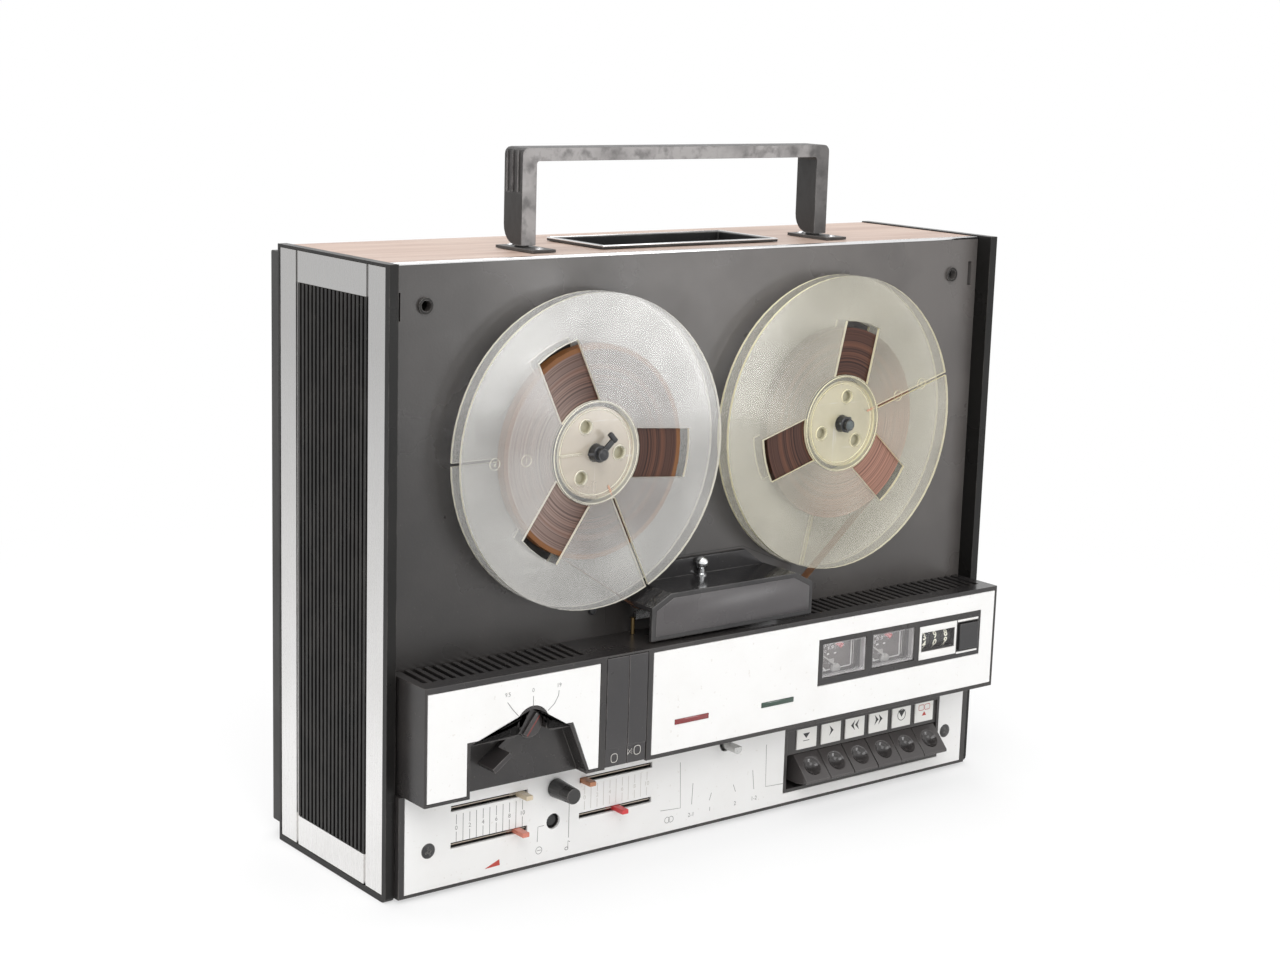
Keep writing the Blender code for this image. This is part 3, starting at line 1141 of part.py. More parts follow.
def panel_holes(y0, y1):
    """Slider slots and control holes between two depths."""
    holes = [box(x0, x1, y0, y1, z - SLOT_HEIGHT / 2, z + SLOT_HEIGHT / 2) for x0, x1, z in slot_spans]
    holes += [rod_y(x, z, CONTROL_HOLE, y0, y1, SMALL_SIDE_COUNT) for x, z in control_places]
    return together(holes)


cheek_low = KEY_AXLE_Z - 2 * BAY_WALL
cheek_high = KEY_AXLE_Z + 2 * BAY_WALL
cheek_rear = KEY_AXLE_Y + 2 * BAY_WALL
bay_cheeks = [box(BAY_LEFT, BAY_LEFT + BAY_WALL, lower_inside, cheek_rear, cheek_low, cheek_high),
              box(BAY_RIGHT - BAY_WALL, BAY_RIGHT, lower_inside, cheek_rear, cheek_low, cheek_high)]
lower_steps = [
    ("cut", box(-INSIDE + LOWER_WALL, INSIDE - LOWER_WALL, lower_inside, LOWER_BACK + OVERRUN,
                LOWER_BOTTOM + LOWER_WALL, LOWER_TOP - LOWER_WALL)),
    ("cut", box(-LOWER_FASCIA_HALF - GAP, LOWER_FASCIA_HALF + GAP, LOWER_FRONT - OVERRUN, lower_bed,
                LOWER_FASCIA_BOTTOM - GAP, LOWER_TOP + OVERRUN)),
    ("join", box(BAY_LEFT, BAY_RIGHT, LOWER_FRONT, LOWER_BACK, BAY_BOTTOM, BAY_TOP)),
    ("cut", box(BAY_INNER_LEFT, BAY_INNER_RIGHT, LOWER_FRONT - OVERRUN, LOWER_BACK + OVERRUN,
                BAY_BOTTOM + BAY_RIM, LABEL_WALL_BOTTOM)),
    ("cut", box(BAY_INNER_LEFT, BAY_INNER_RIGHT, LOWER_FRONT - OVERRUN, LOWER_FRONT + LABEL_WALL_SINK,
                LABEL_WALL_BOTTOM - OVERRUN, BAY_TOP - BAY_RIM)),
    ("cut", box(BAY_INNER_LEFT, BAY_INNER_RIGHT, LOWER_FRONT + LABEL_WALL_SINK + BAY_WALL,
                LOWER_BACK + OVERRUN,
                LABEL_WALL_BOTTOM - OVERRUN, BAY_TOP - BAY_RIM)),
    ("join", together(bay_cheeks)),
    ("join", rod_x(KEY_AXLE_Y, KEY_AXLE_Z, KEY_AXLE, BAY_LEFT + BURY, BAY_RIGHT - BURY, SMALL_SIDE_COUNT)),
    ("cut", panel_holes(lower_bed - OVERRUN, lower_inside + OVERRUN)),
]
piece("lower_frame", BLACK, box(-INSIDE, INSIDE, LOWER_FRONT, LOWER_BACK, LOWER_BOTTOM, LOWER_TOP),
      lower_steps)

lower_plate_front = LOWER_FRONT + FASCIA_SINK
lower_plate_back = lower_plate_front + FASCIA_THICK
bay_hole = box(BAY_LEFT - GAP, BAY_RIGHT + GAP, lower_plate_front - OVERRUN, lower_plate_back + OVERRUN,
               BAY_BOTTOM - GAP, BAY_TOP + GAP)
piece("lower_fascia", WHITE, box(-LOWER_FASCIA_HALF, LOWER_FASCIA_HALF, lower_plate_front, lower_plate_back,
                                 LOWER_FASCIA_BOTTOM, LOWER_TOP),
      [("cut", bay_hole), ("cut", panel_holes(lower_plate_front - OVERRUN, lower_plate_back + OVERRUN))])

# Slider knobs: a flat finger through the slot, with a shoe behind the panel.
slider_names = ("left_upper_slider", "left_lower_slider", "right_upper_slider", "right_lower_slider")
slider_colours = (CREAM, RED, ORANGE, RED)
slider_heights = (SLOT_UPPER_Z, SLOT_LOWER_Z, SLOT_UPPER_Z, SLOT_LOWER_Z)
shoe_front = lower_inside + GAP
for name, surface, x, z in zip(slider_names, slider_colours, SLIDER_REST_XS, slider_heights):
    finger = box(x - SLIDER_CAP_WIDTH / 2, x + SLIDER_CAP_WIDTH / 2, SLIDER_CAP_FACE, shoe_front + BURY,
                 z - SLIDER_CAP_HEIGHT / 2, z + SLIDER_CAP_HEIGHT / 2)
    shoe = box(x - SLIDER_SHOE_WIDTH / 2, x + SLIDER_SHOE_WIDTH / 2, shoe_front,
               shoe_front + SLIDER_SHOE_THICK,
               z - SLIDER_SHOE_HEIGHT / 2, z + SLIDER_SHOE_HEIGHT / 2)
    piece(name, surface, finger, [("join", shoe)], (x, LOWER_FRONT, z))

# Turning controls: each has a collar behind the panel.
collar_profile = [(CONTROL_SHAFT, shoe_front), (CONTROL_COLLAR, shoe_front),
                  (CONTROL_COLLAR, shoe_front + SLIDER_SHOE_THICK),
                  (CONTROL_SHAFT, shoe_front + SLIDER_SHOE_THICK),
                  (CONTROL_SHAFT, CONTROL_BACK)]
tone_foot = LOWER_FRONT - GAP
piece("tone_knob", BLACK,
      spindle_y(TONE_X, TONE_Z, [(TONE_TIP_RADIUS, TONE_FACE), (TONE_RADIUS, tone_foot),
                                 (CONTROL_SHAFT, tone_foot)]
                + collar_profile, MEDIUM_SIDE_COUNT), (), (TONE_X, LOWER_FRONT, TONE_Z))
piece("level_shaft", STEEL,
      spindle_y(LEVEL_X, LEVEL_Z, [(CONTROL_SHAFT, LEVEL_FACE)] + collar_profile, SMALL_SIDE_COUNT),
      (), (LEVEL_X, LOWER_FRONT, LEVEL_Z))
input_flat = box(INPUT_X - CONTROL_SHAFT - OVERRUN, INPUT_X + CONTROL_SHAFT + OVERRUN, INPUT_FACE - OVERRUN,
                 INPUT_FACE + INPUT_FLAT_LENGTH, INPUT_Z + INPUT_FLAT, INPUT_Z + CONTROL_SHAFT + OVERRUN)
piece("input_selector_shaft", STEEL,
      spindle_y(INPUT_X, INPUT_Z, [(CONTROL_SHAFT, INPUT_FACE)] + collar_profile, SMALL_SIDE_COUNT),
      [("cut", input_flat)], (INPUT_X, LOWER_FRONT, INPUT_Z))

# Six piano keys on one shaft, each with a finger dimple in its slope.
key_profile = [(KEY_TOP_FRONT, KEY_TOP), (KEY_TIP_FRONT, KEY_TIP_TOP),
               (KEY_TIP_FRONT, KEY_TIP_TOP - KEY_TIP_EDGE),
               (KEY_UNDER_FRONT, KEY_UNDERSIDE), (KEY_BACK, KEY_UNDERSIDE), (KEY_BACK, KEY_TOP)]
slope_y = KEY_TOP_FRONT - KEY_TIP_FRONT
slope_z = KEY_TOP - KEY_TIP_TOP
slope_angle = math.degrees(math.atan2(slope_z, slope_y))
slope_length = math.hypot(slope_y, slope_z)
for index in range(KEY_COUNT):
    left = KEY_FIRST_X + index * KEY_PITCH
    right = left + KEY_PITCH - KEY_SPACE
    x = (left + right) / 2
    middle_y = (KEY_TOP_FRONT + KEY_TIP_FRONT) / 2
    middle_z = (KEY_TOP + KEY_TIP_TOP) / 2
    lift = KEY_DIMPLE_ROUND - KEY_DIMPLE_DEEP
    dimple = ellipsoid((x, middle_y, middle_z + lift),
                       (KEY_DIMPLE_ROUND, KEY_DIMPLE_ROUND, KEY_DIMPLE_ROUND),
                       DIMPLE_SIDE_COUNT, DIMPLE_RING_COUNT)
    dimple = turn_about(dimple, (x, middle_y, middle_z), "X", slope_angle)
    bore = rod_x(KEY_AXLE_Y, KEY_AXLE_Z, KEY_BORE, left - OVERRUN, right + OVERRUN, SMALL_SIDE_COUNT)
    piece(f"piano_key_{index + 1}", BLACK, prism_x(key_profile, left, right),
          [("cut", dimple), ("cut", bore)],
          (x, KEY_AXLE_Y, KEY_AXLE_Z))

# Carrying handle with its two foot brackets.
LEG_X = HANDLE_HALF - HANDLE_LEG / 2
grip_under = HANDLE_TOP - HANDLE_GRIP
leg_inner = HANDLE_HALF - HANDLE_LEG


def handle_outline():
    """The handle seen from the front: two legs and a grip."""
    corner = HANDLE_CORNER
    bend = HANDLE_INNER_CORNER
    outline = [(-leg_inner, HANDLE_BOTTOM), (-HANDLE_HALF, HANDLE_BOTTOM)]
    outline += arc((-HANDLE_HALF + corner, HANDLE_TOP - corner), corner, HALF_TURN, QUARTER_TURN,
                   CORNER_STEP_COUNT)
    outline += arc((HANDLE_HALF - corner, HANDLE_TOP - corner), corner, QUARTER_TURN, 0, CORNER_STEP_COUNT)
    outline += [(HANDLE_HALF, HANDLE_BOTTOM), (leg_inner, HANDLE_BOTTOM)]
    outline += arc((leg_inner - bend, grip_under - bend), bend, 0, QUARTER_TURN, BEND_STEP_COUNT)
    outline += arc((-leg_inner + bend, grip_under - bend), bend, QUARTER_TURN, HALF_TURN, BEND_STEP_COUNT)
    return outline


def heel_cut():
    """What is taken off the legs' rear lower corners, so that they fold back."""
    outline = [(HANDLE_PIVOT_Y, HANDLE_BOTTOM - OVERRUN), (HANDLE_BACK + OVERRUN, HANDLE_BOTTOM - OVERRUN),
               (HANDLE_BACK + OVERRUN, HANDLE_PIVOT_Z)]
    outline += arc((HANDLE_PIVOT_Y, HANDLE_PIVOT_Z), HANDLE_HEEL, 0, -QUARTER_TURN, HEEL_STEP_COUNT)
    return prism_x(outline, -HANDLE_HALF - OVERRUN, HANDLE_HALF + OVERRUN)


def side_grooves():
    """Upright grooves on the outer faces of both legs."""
    depth = HANDLE_BACK - HANDLE_FRONT
    rib = (depth - HANDLE_GROOVE_COUNT * HANDLE_GROOVE_WIDTH) / (HANDLE_GROOVE_COUNT + 1)
    cuts = []
    for side in (-1, 1):
        edges = sorted((side * (HANDLE_HALF - HANDLE_GROOVE_DEPTH), side * (HANDLE_HALF + OVERRUN)))
        for index in range(HANDLE_GROOVE_COUNT):
            y0 = HANDLE_FRONT + rib + index * (HANDLE_GROOVE_WIDTH + rib)
            cuts.append(box(edges[0], edges[1], y0, y0 + HANDLE_GROOVE_WIDTH, HANDLE_GROOVE_FOOT,
                            HANDLE_TOP + OVERRUN))
    return together(cuts)


ear_room = HANDLE_EAR_RADIUS + GAP
ear_slots = [box(side * LEG_X - HANDLE_SLOT / 2, side * LEG_X + HANDLE_SLOT / 2, HANDLE_PIVOT_Y - ear_room,
                 HANDLE_BACK + OVERRUN, HANDLE_BOTTOM - OVERRUN,
                 HANDLE_PIVOT_Z + ear_room) for side in (-1, 1)]
pin_half = HANDLE_EAR / 2 + HANDLE_PIN_REACH
pin_bores = [rod_x(HANDLE_PIVOT_Y, HANDLE_PIVOT_Z, HANDLE_PIN_BORE, side * LEG_X - pin_half - GAP,
                   side * LEG_X + pin_half + GAP, SMALL_SIDE_COUNT) for side in (-1, 1)]
piece("handle", BLACK, prism_y(handle_outline(), HANDLE_FRONT, HANDLE_BACK),
      [("cut", heel_cut()), ("cut", side_grooves()), ("cut", together(ear_slots)),
       ("cut", together(pin_bores))],
      (0, HANDLE_PIVOT_Y, HANDLE_PIVOT_Z))

foot_low = TOP_FACE + GAP
foot_high = foot_low + FOOT_THICK
foot_rear = HANDLE_BACK + FOOT_REAR_REACH
ear_outline = [(HANDLE_PIVOT_Y - HANDLE_EAR_RADIUS, foot_high - BURY),
               (HANDLE_PIVOT_Y + HANDLE_EAR_RADIUS, foot_high - BURY)]
ear_outline += arc((HANDLE_PIVOT_Y, HANDLE_PIVOT_Z), HANDLE_EAR_RADIUS, 0, HALF_TURN, EAR_STEP_COUNT)
for name, side in (("left_handle_foot", -1), ("right_handle_foot", 1)):
    x = side * LEG_X
    plate = box(x - FOOT_WIDTH / 2, x + FOOT_WIDTH / 2, foot_rear - FOOT_LENGTH, foot_rear, foot_low,
                foot_high)
    ear = prism_x(ear_outline, x - HANDLE_EAR / 2, x + HANDLE_EAR / 2)
    pin = rod_x(HANDLE_PIVOT_Y, HANDLE_PIVOT_Z, HANDLE_PIN, x - pin_half, x + pin_half, SMALL_SIDE_COUNT)
    piece(name, BLACK, plate, [("join", ear), ("join", pin)])

# Well let into the top board.
tray_half = WELL_HALF - WELL_RIM - GAP
tray_front = WELL_FRONT + WELL_RIM + GAP
tray_back = WELL_BACK - WELL_RIM - GAP
tray_low = TOP_FACE - WELL_DEPTH
rim_top = TOP_FACE + WELL_RIM_RISE
tray = box(-tray_half, tray_half, tray_front, tray_back, tray_low, rim_top - BURY)
tray_inside = box(-tray_half + WELL_WALL, tray_half - WELL_WALL, tray_front + WELL_WALL,
                  tray_back - WELL_WALL,
                  tray_low + WELL_WALL, rim_top + OVERRUN)
piece("handle_well", BLACK, box(-WELL_HALF, WELL_HALF, WELL_FRONT, WELL_BACK, TOP_FACE + GAP, rim_top),
      [("join", tray), ("cut", tray_inside)])


def window_outline(x, z, half_width, outer, angle):
    """A flange window with parallel sides between two arcs."""
    inner = REEL_HUB + WINDOW_INNER_SPACE
    near = math.degrees(math.asin(half_width / inner))
    far = math.degrees(math.asin(half_width / outer))
    outline = arc((x, z), inner, angle - near, angle + near, WINDOW_INNER_STEP_COUNT)
    return outline + arc((x, z), outer, angle + far, angle - far, WINDOW_OUTER_STEP_COUNT)


def radial_slit(x, z, angle, y0, y1):
    """A narrow cut from beside the hub to the rim."""
    cut = box(REEL_HUB + WINDOW_INNER_SPACE, REEL_RADIUS + OVERRUN, y0, y1, -SLIT_WIDTH / 2, SLIT_WIDTH / 2)
    cut = turn_about(cut, (0, 0, 0), "Y", -angle)
    return [(u + x, y, v + z) for u, y, v in cut[0]], cut[1]


# Reels with their tape, on turntables whose caps hold them.
hub_face = REEL_FRONT + REEL_HUB_SINK
reel_profile = [(REEL_BORE, hub_face), (REEL_HUB_RING, hub_face), (REEL_HUB_RING, REEL_FRONT),
                (REEL_RADIUS, REEL_FRONT),
                (REEL_RADIUS, REEL_FRONT + FLANGE_THICK), (REEL_HUB, REEL_FRONT + FLANGE_THICK),
                (REEL_HUB, REEL_REAR - FLANGE_THICK), (REEL_RADIUS, REEL_REAR - FLANGE_THICK),
                (REEL_RADIUS, REEL_REAR), (REEL_BORE, REEL_REAR)]
cap_back = hub_face - GAP
cap_front = cap_back - SPINDLE_CAP_LENGTH
tip_front = cap_front - SPINDLE_TIP_LENGTH
platter_front = REEL_REAR + GAP
platter_back = platter_front + PLATTER_THICK
pulley_front = DECK_BACK + SPINDLE_PULLEY_SPACE
spindle_end = CHASSIS_BACK + SPINDLE_PULLEY_SPACE
turntable_profile = [(SPINDLE_TIP, tip_front), (SPINDLE_TIP, cap_front), (SPINDLE_CAP - BURY, cap_front),
                     (SPINDLE_CAP, cap_front + BURY), (SPINDLE_CAP, cap_back), (SPINDLE_RADIUS, cap_back),
                     (SPINDLE_RADIUS, platter_front), (PLATTER_RADIUS, platter_front),
                     (PLATTER_RADIUS, platter_back),
                     (SPINDLE_SHAFT, platter_back), (SPINDLE_SHAFT, pulley_front),
                     (SPINDLE_PULLEY, pulley_front),
                     (SPINDLE_PULLEY, pulley_front + SPINDLE_PULLEY_THICK),
                     (SPINDLE_SHAFT, pulley_front + SPINDLE_PULLEY_THICK), (SPINDLE_SHAFT, spindle_end)]
for index, side in enumerate(("left", "right")):
    x = REEL_XS[index]
    z = REEL_ZS[index]
    angles = [WINDOW_ANGLES[index] + FULL_TURN / WINDOW_COUNT * turn for turn in range(WINDOW_COUNT)]
    openings = [prism_y(window_outline(x, z, WINDOW_HALF_WIDTHS[index], WINDOW_OUTERS[index], angle),
                        REEL_FRONT - OVERRUN, REEL_REAR + OVERRUN) for angle in angles]
    for angle in angles:
        lug_x = x + REEL_LUG_RADIUS * math.cos(math.radians(angle))
        lug_z = z + REEL_LUG_RADIUS * math.sin(math.radians(angle))
        openings.append(rod_y(lug_x, lug_z, REEL_LUG_HOLE, hub_face - OVERRUN, REEL_REAR + OVERRUN,
                              SMALL_SIDE_COUNT))
    openings.append(radial_slit(x, z, SLIT_ANGLES[index], REEL_FRONT - OVERRUN,
                                REEL_FRONT + FLANGE_THICK + OVERRUN))
    openings.append(radial_slit(x, z, REAR_SLIT_ANGLES[index], REEL_REAR - FLANGE_THICK - OVERRUN,
                                REEL_REAR + OVERRUN))
    centre = (x, platter_front, z)
    piece(f"{side}_reel", CLEAR, turned_y(x, z, reel_profile, FLANGE_SIDE_COUNT),
          [("cut", together(openings))], centre)
    pack_profile = [(REEL_HUB + GAP, TAPE_FRONT), (PACK_RADII[index], TAPE_FRONT),
                    (PACK_RADII[index], TAPE_REAR), (REEL_HUB + GAP, TAPE_REAR)]
    piece(f"{side}_tape_pack", TAPE, turned_y(x, z, pack_profile, LARGE_SIDE_COUNT), (), centre)
    piece(f"{side}_turntable", BLACK, spindle_y(x, z, turntable_profile, MEDIUM_SIDE_COUNT), (), centre)

# Head cover with its guard plate against the deck.
slope = COVER_CORNER_Z / COVER_CORNER_X
chamfer_drop = COVER_WALL * math.hypot(1, slope)
cover_shoulder = COVER_TOP - COVER_CORNER_Z
flat_half = COVER_HALF - COVER_CORNER_X
cover_outline = [(-COVER_HALF, COVER_BOTTOM), (COVER_HALF, COVER_BOTTOM), (COVER_HALF, cover_shoulder),
                 (flat_half, COVER_TOP), (-flat_half, COVER_TOP), (-COVER_HALF, cover_shoulder)]
open_half = COVER_HALF + OVERRUN
open_top = cover_shoulder - chamfer_drop - OVERRUN * slope
inner_top = COVER_TOP - COVER_WALL
inner_flat = COVER_HALF - (inner_top - cover_shoulder + chamfer_drop) / slope
cover_hollow = [(-open_half, COVER_BOTTOM - OVERRUN), (open_half, COVER_BOTTOM - OVERRUN),
                (open_half, open_top),
                (inner_flat, inner_top), (-inner_flat, inner_top), (-open_half, open_top)]
guard_outline = [(-flat_half, COVER_TOP - COVER_WALL / 2), (flat_half, COVER_TOP - COVER_WALL / 2),
                 (GUARD_TOP_HALF, GUARD_TOP), (-GUARD_TOP_HALF, GUARD_TOP)]
piece("head_cover", BLACK, prism_y(cover_outline, COVER_FRONT, HOUSING_REAR),
      [("cut", prism_y(cover_hollow, COVER_FRONT + COVER_WALL, HOUSING_REAR + OVERRUN)),
       ("join", prism_y(guard_outline, HOUSING_REAR - GUARD_THICK, HOUSING_REAR))])

# Head block: base plate, two heads, two guide pins and the stud of the pinch arm.
base_front = HOUSING_REAR - HEAD_BASE_THICK
roller_z = TAPE_LINE + ROLLER_LIFT + ROLLER_RADIUS
arm_pivot_x = CAPSTAN_X + ARM_REACH
arm_back = base_front - GAP
arm_front = arm_back - ARM_THICK
block_joins = [box(x - width / 2, x + width / 2, HEAD_FRONT, base_front + BURY, TAPE_LINE + GAP,
                   TAPE_LINE + GAP + HEAD_HEIGHT) for x, width in zip(HEAD_XS, HEAD_WIDTHS)]
block_joins += [rod_y(x, TAPE_LINE + GAP + GUIDE_RADIUS, GUIDE_RADIUS, HEAD_FRONT, base_front + BURY,
                      SMALL_SIDE_COUNT)
                for x in GUIDE_XS]
block_joins.append(rod_y(arm_pivot_x, roller_z, ARM_PIVOT, arm_front - BURY, base_front + BURY,
                         SMALL_SIDE_COUNT))
base_shoulder = HEAD_BASE_TOP - HEAD_BASE_CORNER_Z
base_outline = [(HEAD_BASE_LEFT, HEAD_BASE_BOTTOM), (HEAD_BASE_RIGHT, HEAD_BASE_BOTTOM),
                (HEAD_BASE_RIGHT, base_shoulder), (HEAD_BASE_RIGHT - HEAD_BASE_CORNER_X, HEAD_BASE_TOP),
                (HEAD_BASE_LEFT + HEAD_BASE_CORNER_X, HEAD_BASE_TOP), (HEAD_BASE_LEFT, base_shoulder)]
piece("head_block", STEEL, prism_y(base_outline, base_front, HOUSING_REAR),
      [("join", together(block_joins)),
       ("cut", rod_y(CAPSTAN_X, FLYWHEEL_Z, CAPSTAN_HOLE, base_front - OVERRUN, HOUSING_REAR + OVERRUN,
                     SMALL_SIDE_COUNT))])

# Pinch roller on its swinging arm.
arm_plate = box(CAPSTAN_X - ARM_WIDTH / 2, arm_pivot_x + ARM_WIDTH / 2, arm_front, arm_back,
                roller_z - ARM_WIDTH / 2, roller_z + ARM_WIDTH / 2)
roller_back = arm_front - GAP
roller_front = roller_back - ROLLER_LENGTH
piece("pinch_arm", STEEL, arm_plate,
      [("join", rod_y(CAPSTAN_X, roller_z, ROLLER_AXLE, roller_front - GAP, arm_front + BURY,
                      SMALL_SIDE_COUNT)),
       ("cut", rod_y(arm_pivot_x, roller_z, ARM_PIVOT + BEARING_CLEAR, arm_front - OVERRUN,
                     arm_back + OVERRUN, SMALL_SIDE_COUNT))],
      (arm_pivot_x, arm_back, roller_z))
piece("pinch_roller", RUBBER,
      turned_y(CAPSTAN_X, roller_z, [(ROLLER_BORE, roller_front), (ROLLER_RADIUS, roller_front),
                                     (ROLLER_RADIUS, roller_back), (ROLLER_BORE, roller_back)],
                                     MEDIUM_SIDE_COUNT),
      (), (CAPSTAN_X, roller_back, roller_z))

# Steel chassis plate on four studs, with bearings for the shafts.
studs = [rod_y(side * (CHASSIS_HALF - CHASSIS_STUD_INSET), z, CHASSIS_STUD, DECK_BACK + GAP,
               CHASSIS_FRONT + BURY, SMALL_SIDE_COUNT)
         for side in (-1, 1) for z in (CHASSIS_BOTTOM + CHASSIS_STUD_INSET,
                                       CHASSIS_TOP - CHASSIS_STUD_INSET)]
bearings = [rod_y(x, z, SPINDLE_SHAFT + BEARING_CLEAR, CHASSIS_FRONT - OVERRUN, CHASSIS_BACK + OVERRUN,
                  MEDIUM_SIDE_COUNT)
            for x, z in zip(REEL_XS, REEL_ZS)]
bearings.append(rod_y(CAPSTAN_X, FLYWHEEL_Z, CAPSTAN_RADIUS + BEARING_CLEAR, CHASSIS_FRONT - OVERRUN,
                      CHASSIS_BACK + OVERRUN, MEDIUM_SIDE_COUNT))
piece("chassis", STEEL, box(-CHASSIS_HALF, CHASSIS_HALF, CHASSIS_FRONT, CHASSIS_BACK, CHASSIS_BOTTOM,
                            CHASSIS_TOP),
      [("join", together(studs)), ("cut", together(bearings))])

# Drive: motor, its pulley, the flywheel with the capstan and the belt between them.
motor_front = CHASSIS_BACK + GAP
motor_back = motor_front + MOTOR_LENGTH
piece("motor", STEEL, spindle_y(MOTOR_X, MOTOR_Z, [(MOTOR_RADIUS, motor_front), (MOTOR_RADIUS, motor_back),
                                                   (MOTOR_SHAFT, motor_back),
                                                   (MOTOR_SHAFT, motor_back + MOTOR_SHAFT_LENGTH)],
                                                   LARGE_SIDE_COUNT))
pulley_start = DRIVE_FRONT + GAP
pulley_bore = MOTOR_SHAFT + BEARING_CLEAR
piece("motor_pulley", STEEL,
      turned_y(MOTOR_X, MOTOR_Z, [(pulley_bore, pulley_start), (PULLEY_RADIUS, pulley_start),
                                  (PULLEY_RADIUS, pulley_start + PULLEY_THICK),
                                  (pulley_bore, pulley_start + PULLEY_THICK)],
               MEDIUM_SIDE_COUNT), (), (MOTOR_X, pulley_start, MOTOR_Z))
piece("flywheel", STEEL,
      spindle_y(CAPSTAN_X, FLYWHEEL_Z, [(CAPSTAN_RADIUS, CAPSTAN_FRONT), (CAPSTAN_RADIUS, DRIVE_FRONT),
                                        (FLYWHEEL_RADIUS, DRIVE_FRONT),
                                        (FLYWHEEL_RADIUS, DRIVE_FRONT + FLYWHEEL_THICK)],
                LARGE_SIDE_COUNT), (), (CAPSTAN_X, DRIVE_FRONT, FLYWHEEL_Z))


def belt_loop(grow, y):
    """A closed line round the pulley and the flywheel, a little outside them."""
    small = PULLEY_RADIUS + GAP + grow
    large = FLYWHEEL_RADIUS + GAP + grow
    across = CAPSTAN_X - MOTOR_X
    rise = FLYWHEEL_Z - MOTOR_Z
    heading = math.degrees(math.atan2(rise, across))
    touch = math.degrees(math.acos((small - large) / math.hypot(across, rise)))
    line = arc((MOTOR_X, MOTOR_Z), small, heading + touch, heading + FULL_TURN - touch, EAR_STEP_COUNT)
    line += arc((CAPSTAN_X, FLYWHEEL_Z), large, heading - touch, heading + touch, MEDIUM_SIDE_COUNT)
    return [(x, y, z) for x, z in line]


belt_start = pulley_start + (PULLEY_THICK - BELT_WIDTH) / 2
belt_end = belt_start + BELT_WIDTH
piece("drive_belt", RUBBER, ring_body([belt_loop(0, belt_start), belt_loop(BELT_THICK, belt_start),
                                       belt_loop(BELT_THICK, belt_end), belt_loop(0, belt_end)]))

# Mains transformer and amplifier board on the bottom board.
stand = FLOOR_TOP + GAP
wide, deep, high = TRANSFORMER_SIZE
coil_half = wide / 2 - 2 * TRANSFORMER_COIL
coil = box(TRANSFORMER_X - coil_half, TRANSFORMER_X + coil_half,
           TRANSFORMER_Y - deep / 2 - TRANSFORMER_COIL, TRANSFORMER_Y + deep / 2 + TRANSFORMER_COIL,
           stand + TRANSFORMER_COIL, stand + high - TRANSFORMER_COIL)
piece("transformer", COPPER,
      box(TRANSFORMER_X - wide / 2, TRANSFORMER_X + wide / 2, TRANSFORMER_Y - deep / 2,
                                 TRANSFORMER_Y + deep / 2, stand, stand + high), [("join", coil)])

sink_left = HEATSINK_X - HEATSINK_WIDTH / 2
fin_pitch = HEATSINK_WIDTH / HEATSINK_FIN_COUNT
heat_sink = box(sink_left, sink_left + HEATSINK_WIDTH, BOARD_Y - HEATSINK_DEPTH, BOARD_Y + BURY,
                stand + CAPACITOR_RADIUS, stand + CAPACITOR_RADIUS + HEATSINK_HEIGHT)
fins = [box(sink_left + fin_pitch * (fin - 1) + fin_pitch / 2, sink_left + fin_pitch * fin,
            BOARD_Y - HEATSINK_DEPTH - OVERRUN, BOARD_Y - HEATSINK_DEPTH / 4, stand, stand + BOARD_HEIGHT)
        for fin in range(1, HEATSINK_FIN_COUNT)]
cans = [rod_y(x, stand + CAPACITOR_RISE, CAPACITOR_RADIUS, BOARD_Y - CAPACITOR_LENGTH, BOARD_Y + BURY,
              SMALL_SIDE_COUNT)
        for x in CAPACITOR_XS]
piece("amplifier_board", BOARD,
      box(BOARD_LEFT, BOARD_RIGHT, BOARD_Y, BOARD_Y + BOARD_THICK, stand, stand + BOARD_HEIGHT),
      [("join", heat_sink), ("cut", together(fins)), ("join", together(cans))])

# Loudspeakers against the side panels.
for name, side in (("left_speaker", -1), ("right_speaker", 1)):
    rim_x = side * INSIDE
    depths = (0, SPEAKER_RIM, SPEAKER_RIM, SPEAKER_CONE_DEPTH, SPEAKER_CONE_DEPTH + SPEAKER_MAGNET_DEPTH)
    radii = (SPEAKER_RADIUS, SPEAKER_RADIUS, SPEAKER_RADIUS - SPEAKER_RIM, SPEAKER_MAGNET, SPEAKER_MAGNET)
    profile = [(radius, rim_x - side * depth) for radius, depth in zip(radii, depths)]
    piece(name, DARK, spindle_x(SPEAKER_Y, SPEAKER_Z, profile, LARGE_SIDE_COUNT))
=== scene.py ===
"""A portable reel-to-reel tape recorder, finished and lit: metres, +Z up, its front faces -Y."""

import math

import bpy
from mathutils import Matrix, Vector


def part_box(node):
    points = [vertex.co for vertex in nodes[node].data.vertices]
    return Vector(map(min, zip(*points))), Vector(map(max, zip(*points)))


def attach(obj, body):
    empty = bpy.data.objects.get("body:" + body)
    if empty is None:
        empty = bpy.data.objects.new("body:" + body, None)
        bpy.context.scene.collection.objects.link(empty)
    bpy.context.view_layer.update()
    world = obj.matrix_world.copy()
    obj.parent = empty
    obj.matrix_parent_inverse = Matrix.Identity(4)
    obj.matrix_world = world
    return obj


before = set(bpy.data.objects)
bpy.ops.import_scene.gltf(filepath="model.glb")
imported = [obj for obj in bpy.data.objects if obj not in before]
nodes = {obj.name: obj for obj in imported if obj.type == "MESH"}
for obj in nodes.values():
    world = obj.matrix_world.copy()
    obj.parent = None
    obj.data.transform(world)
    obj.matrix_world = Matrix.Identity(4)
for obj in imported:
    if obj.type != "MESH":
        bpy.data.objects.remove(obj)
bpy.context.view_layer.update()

MM = 0.001

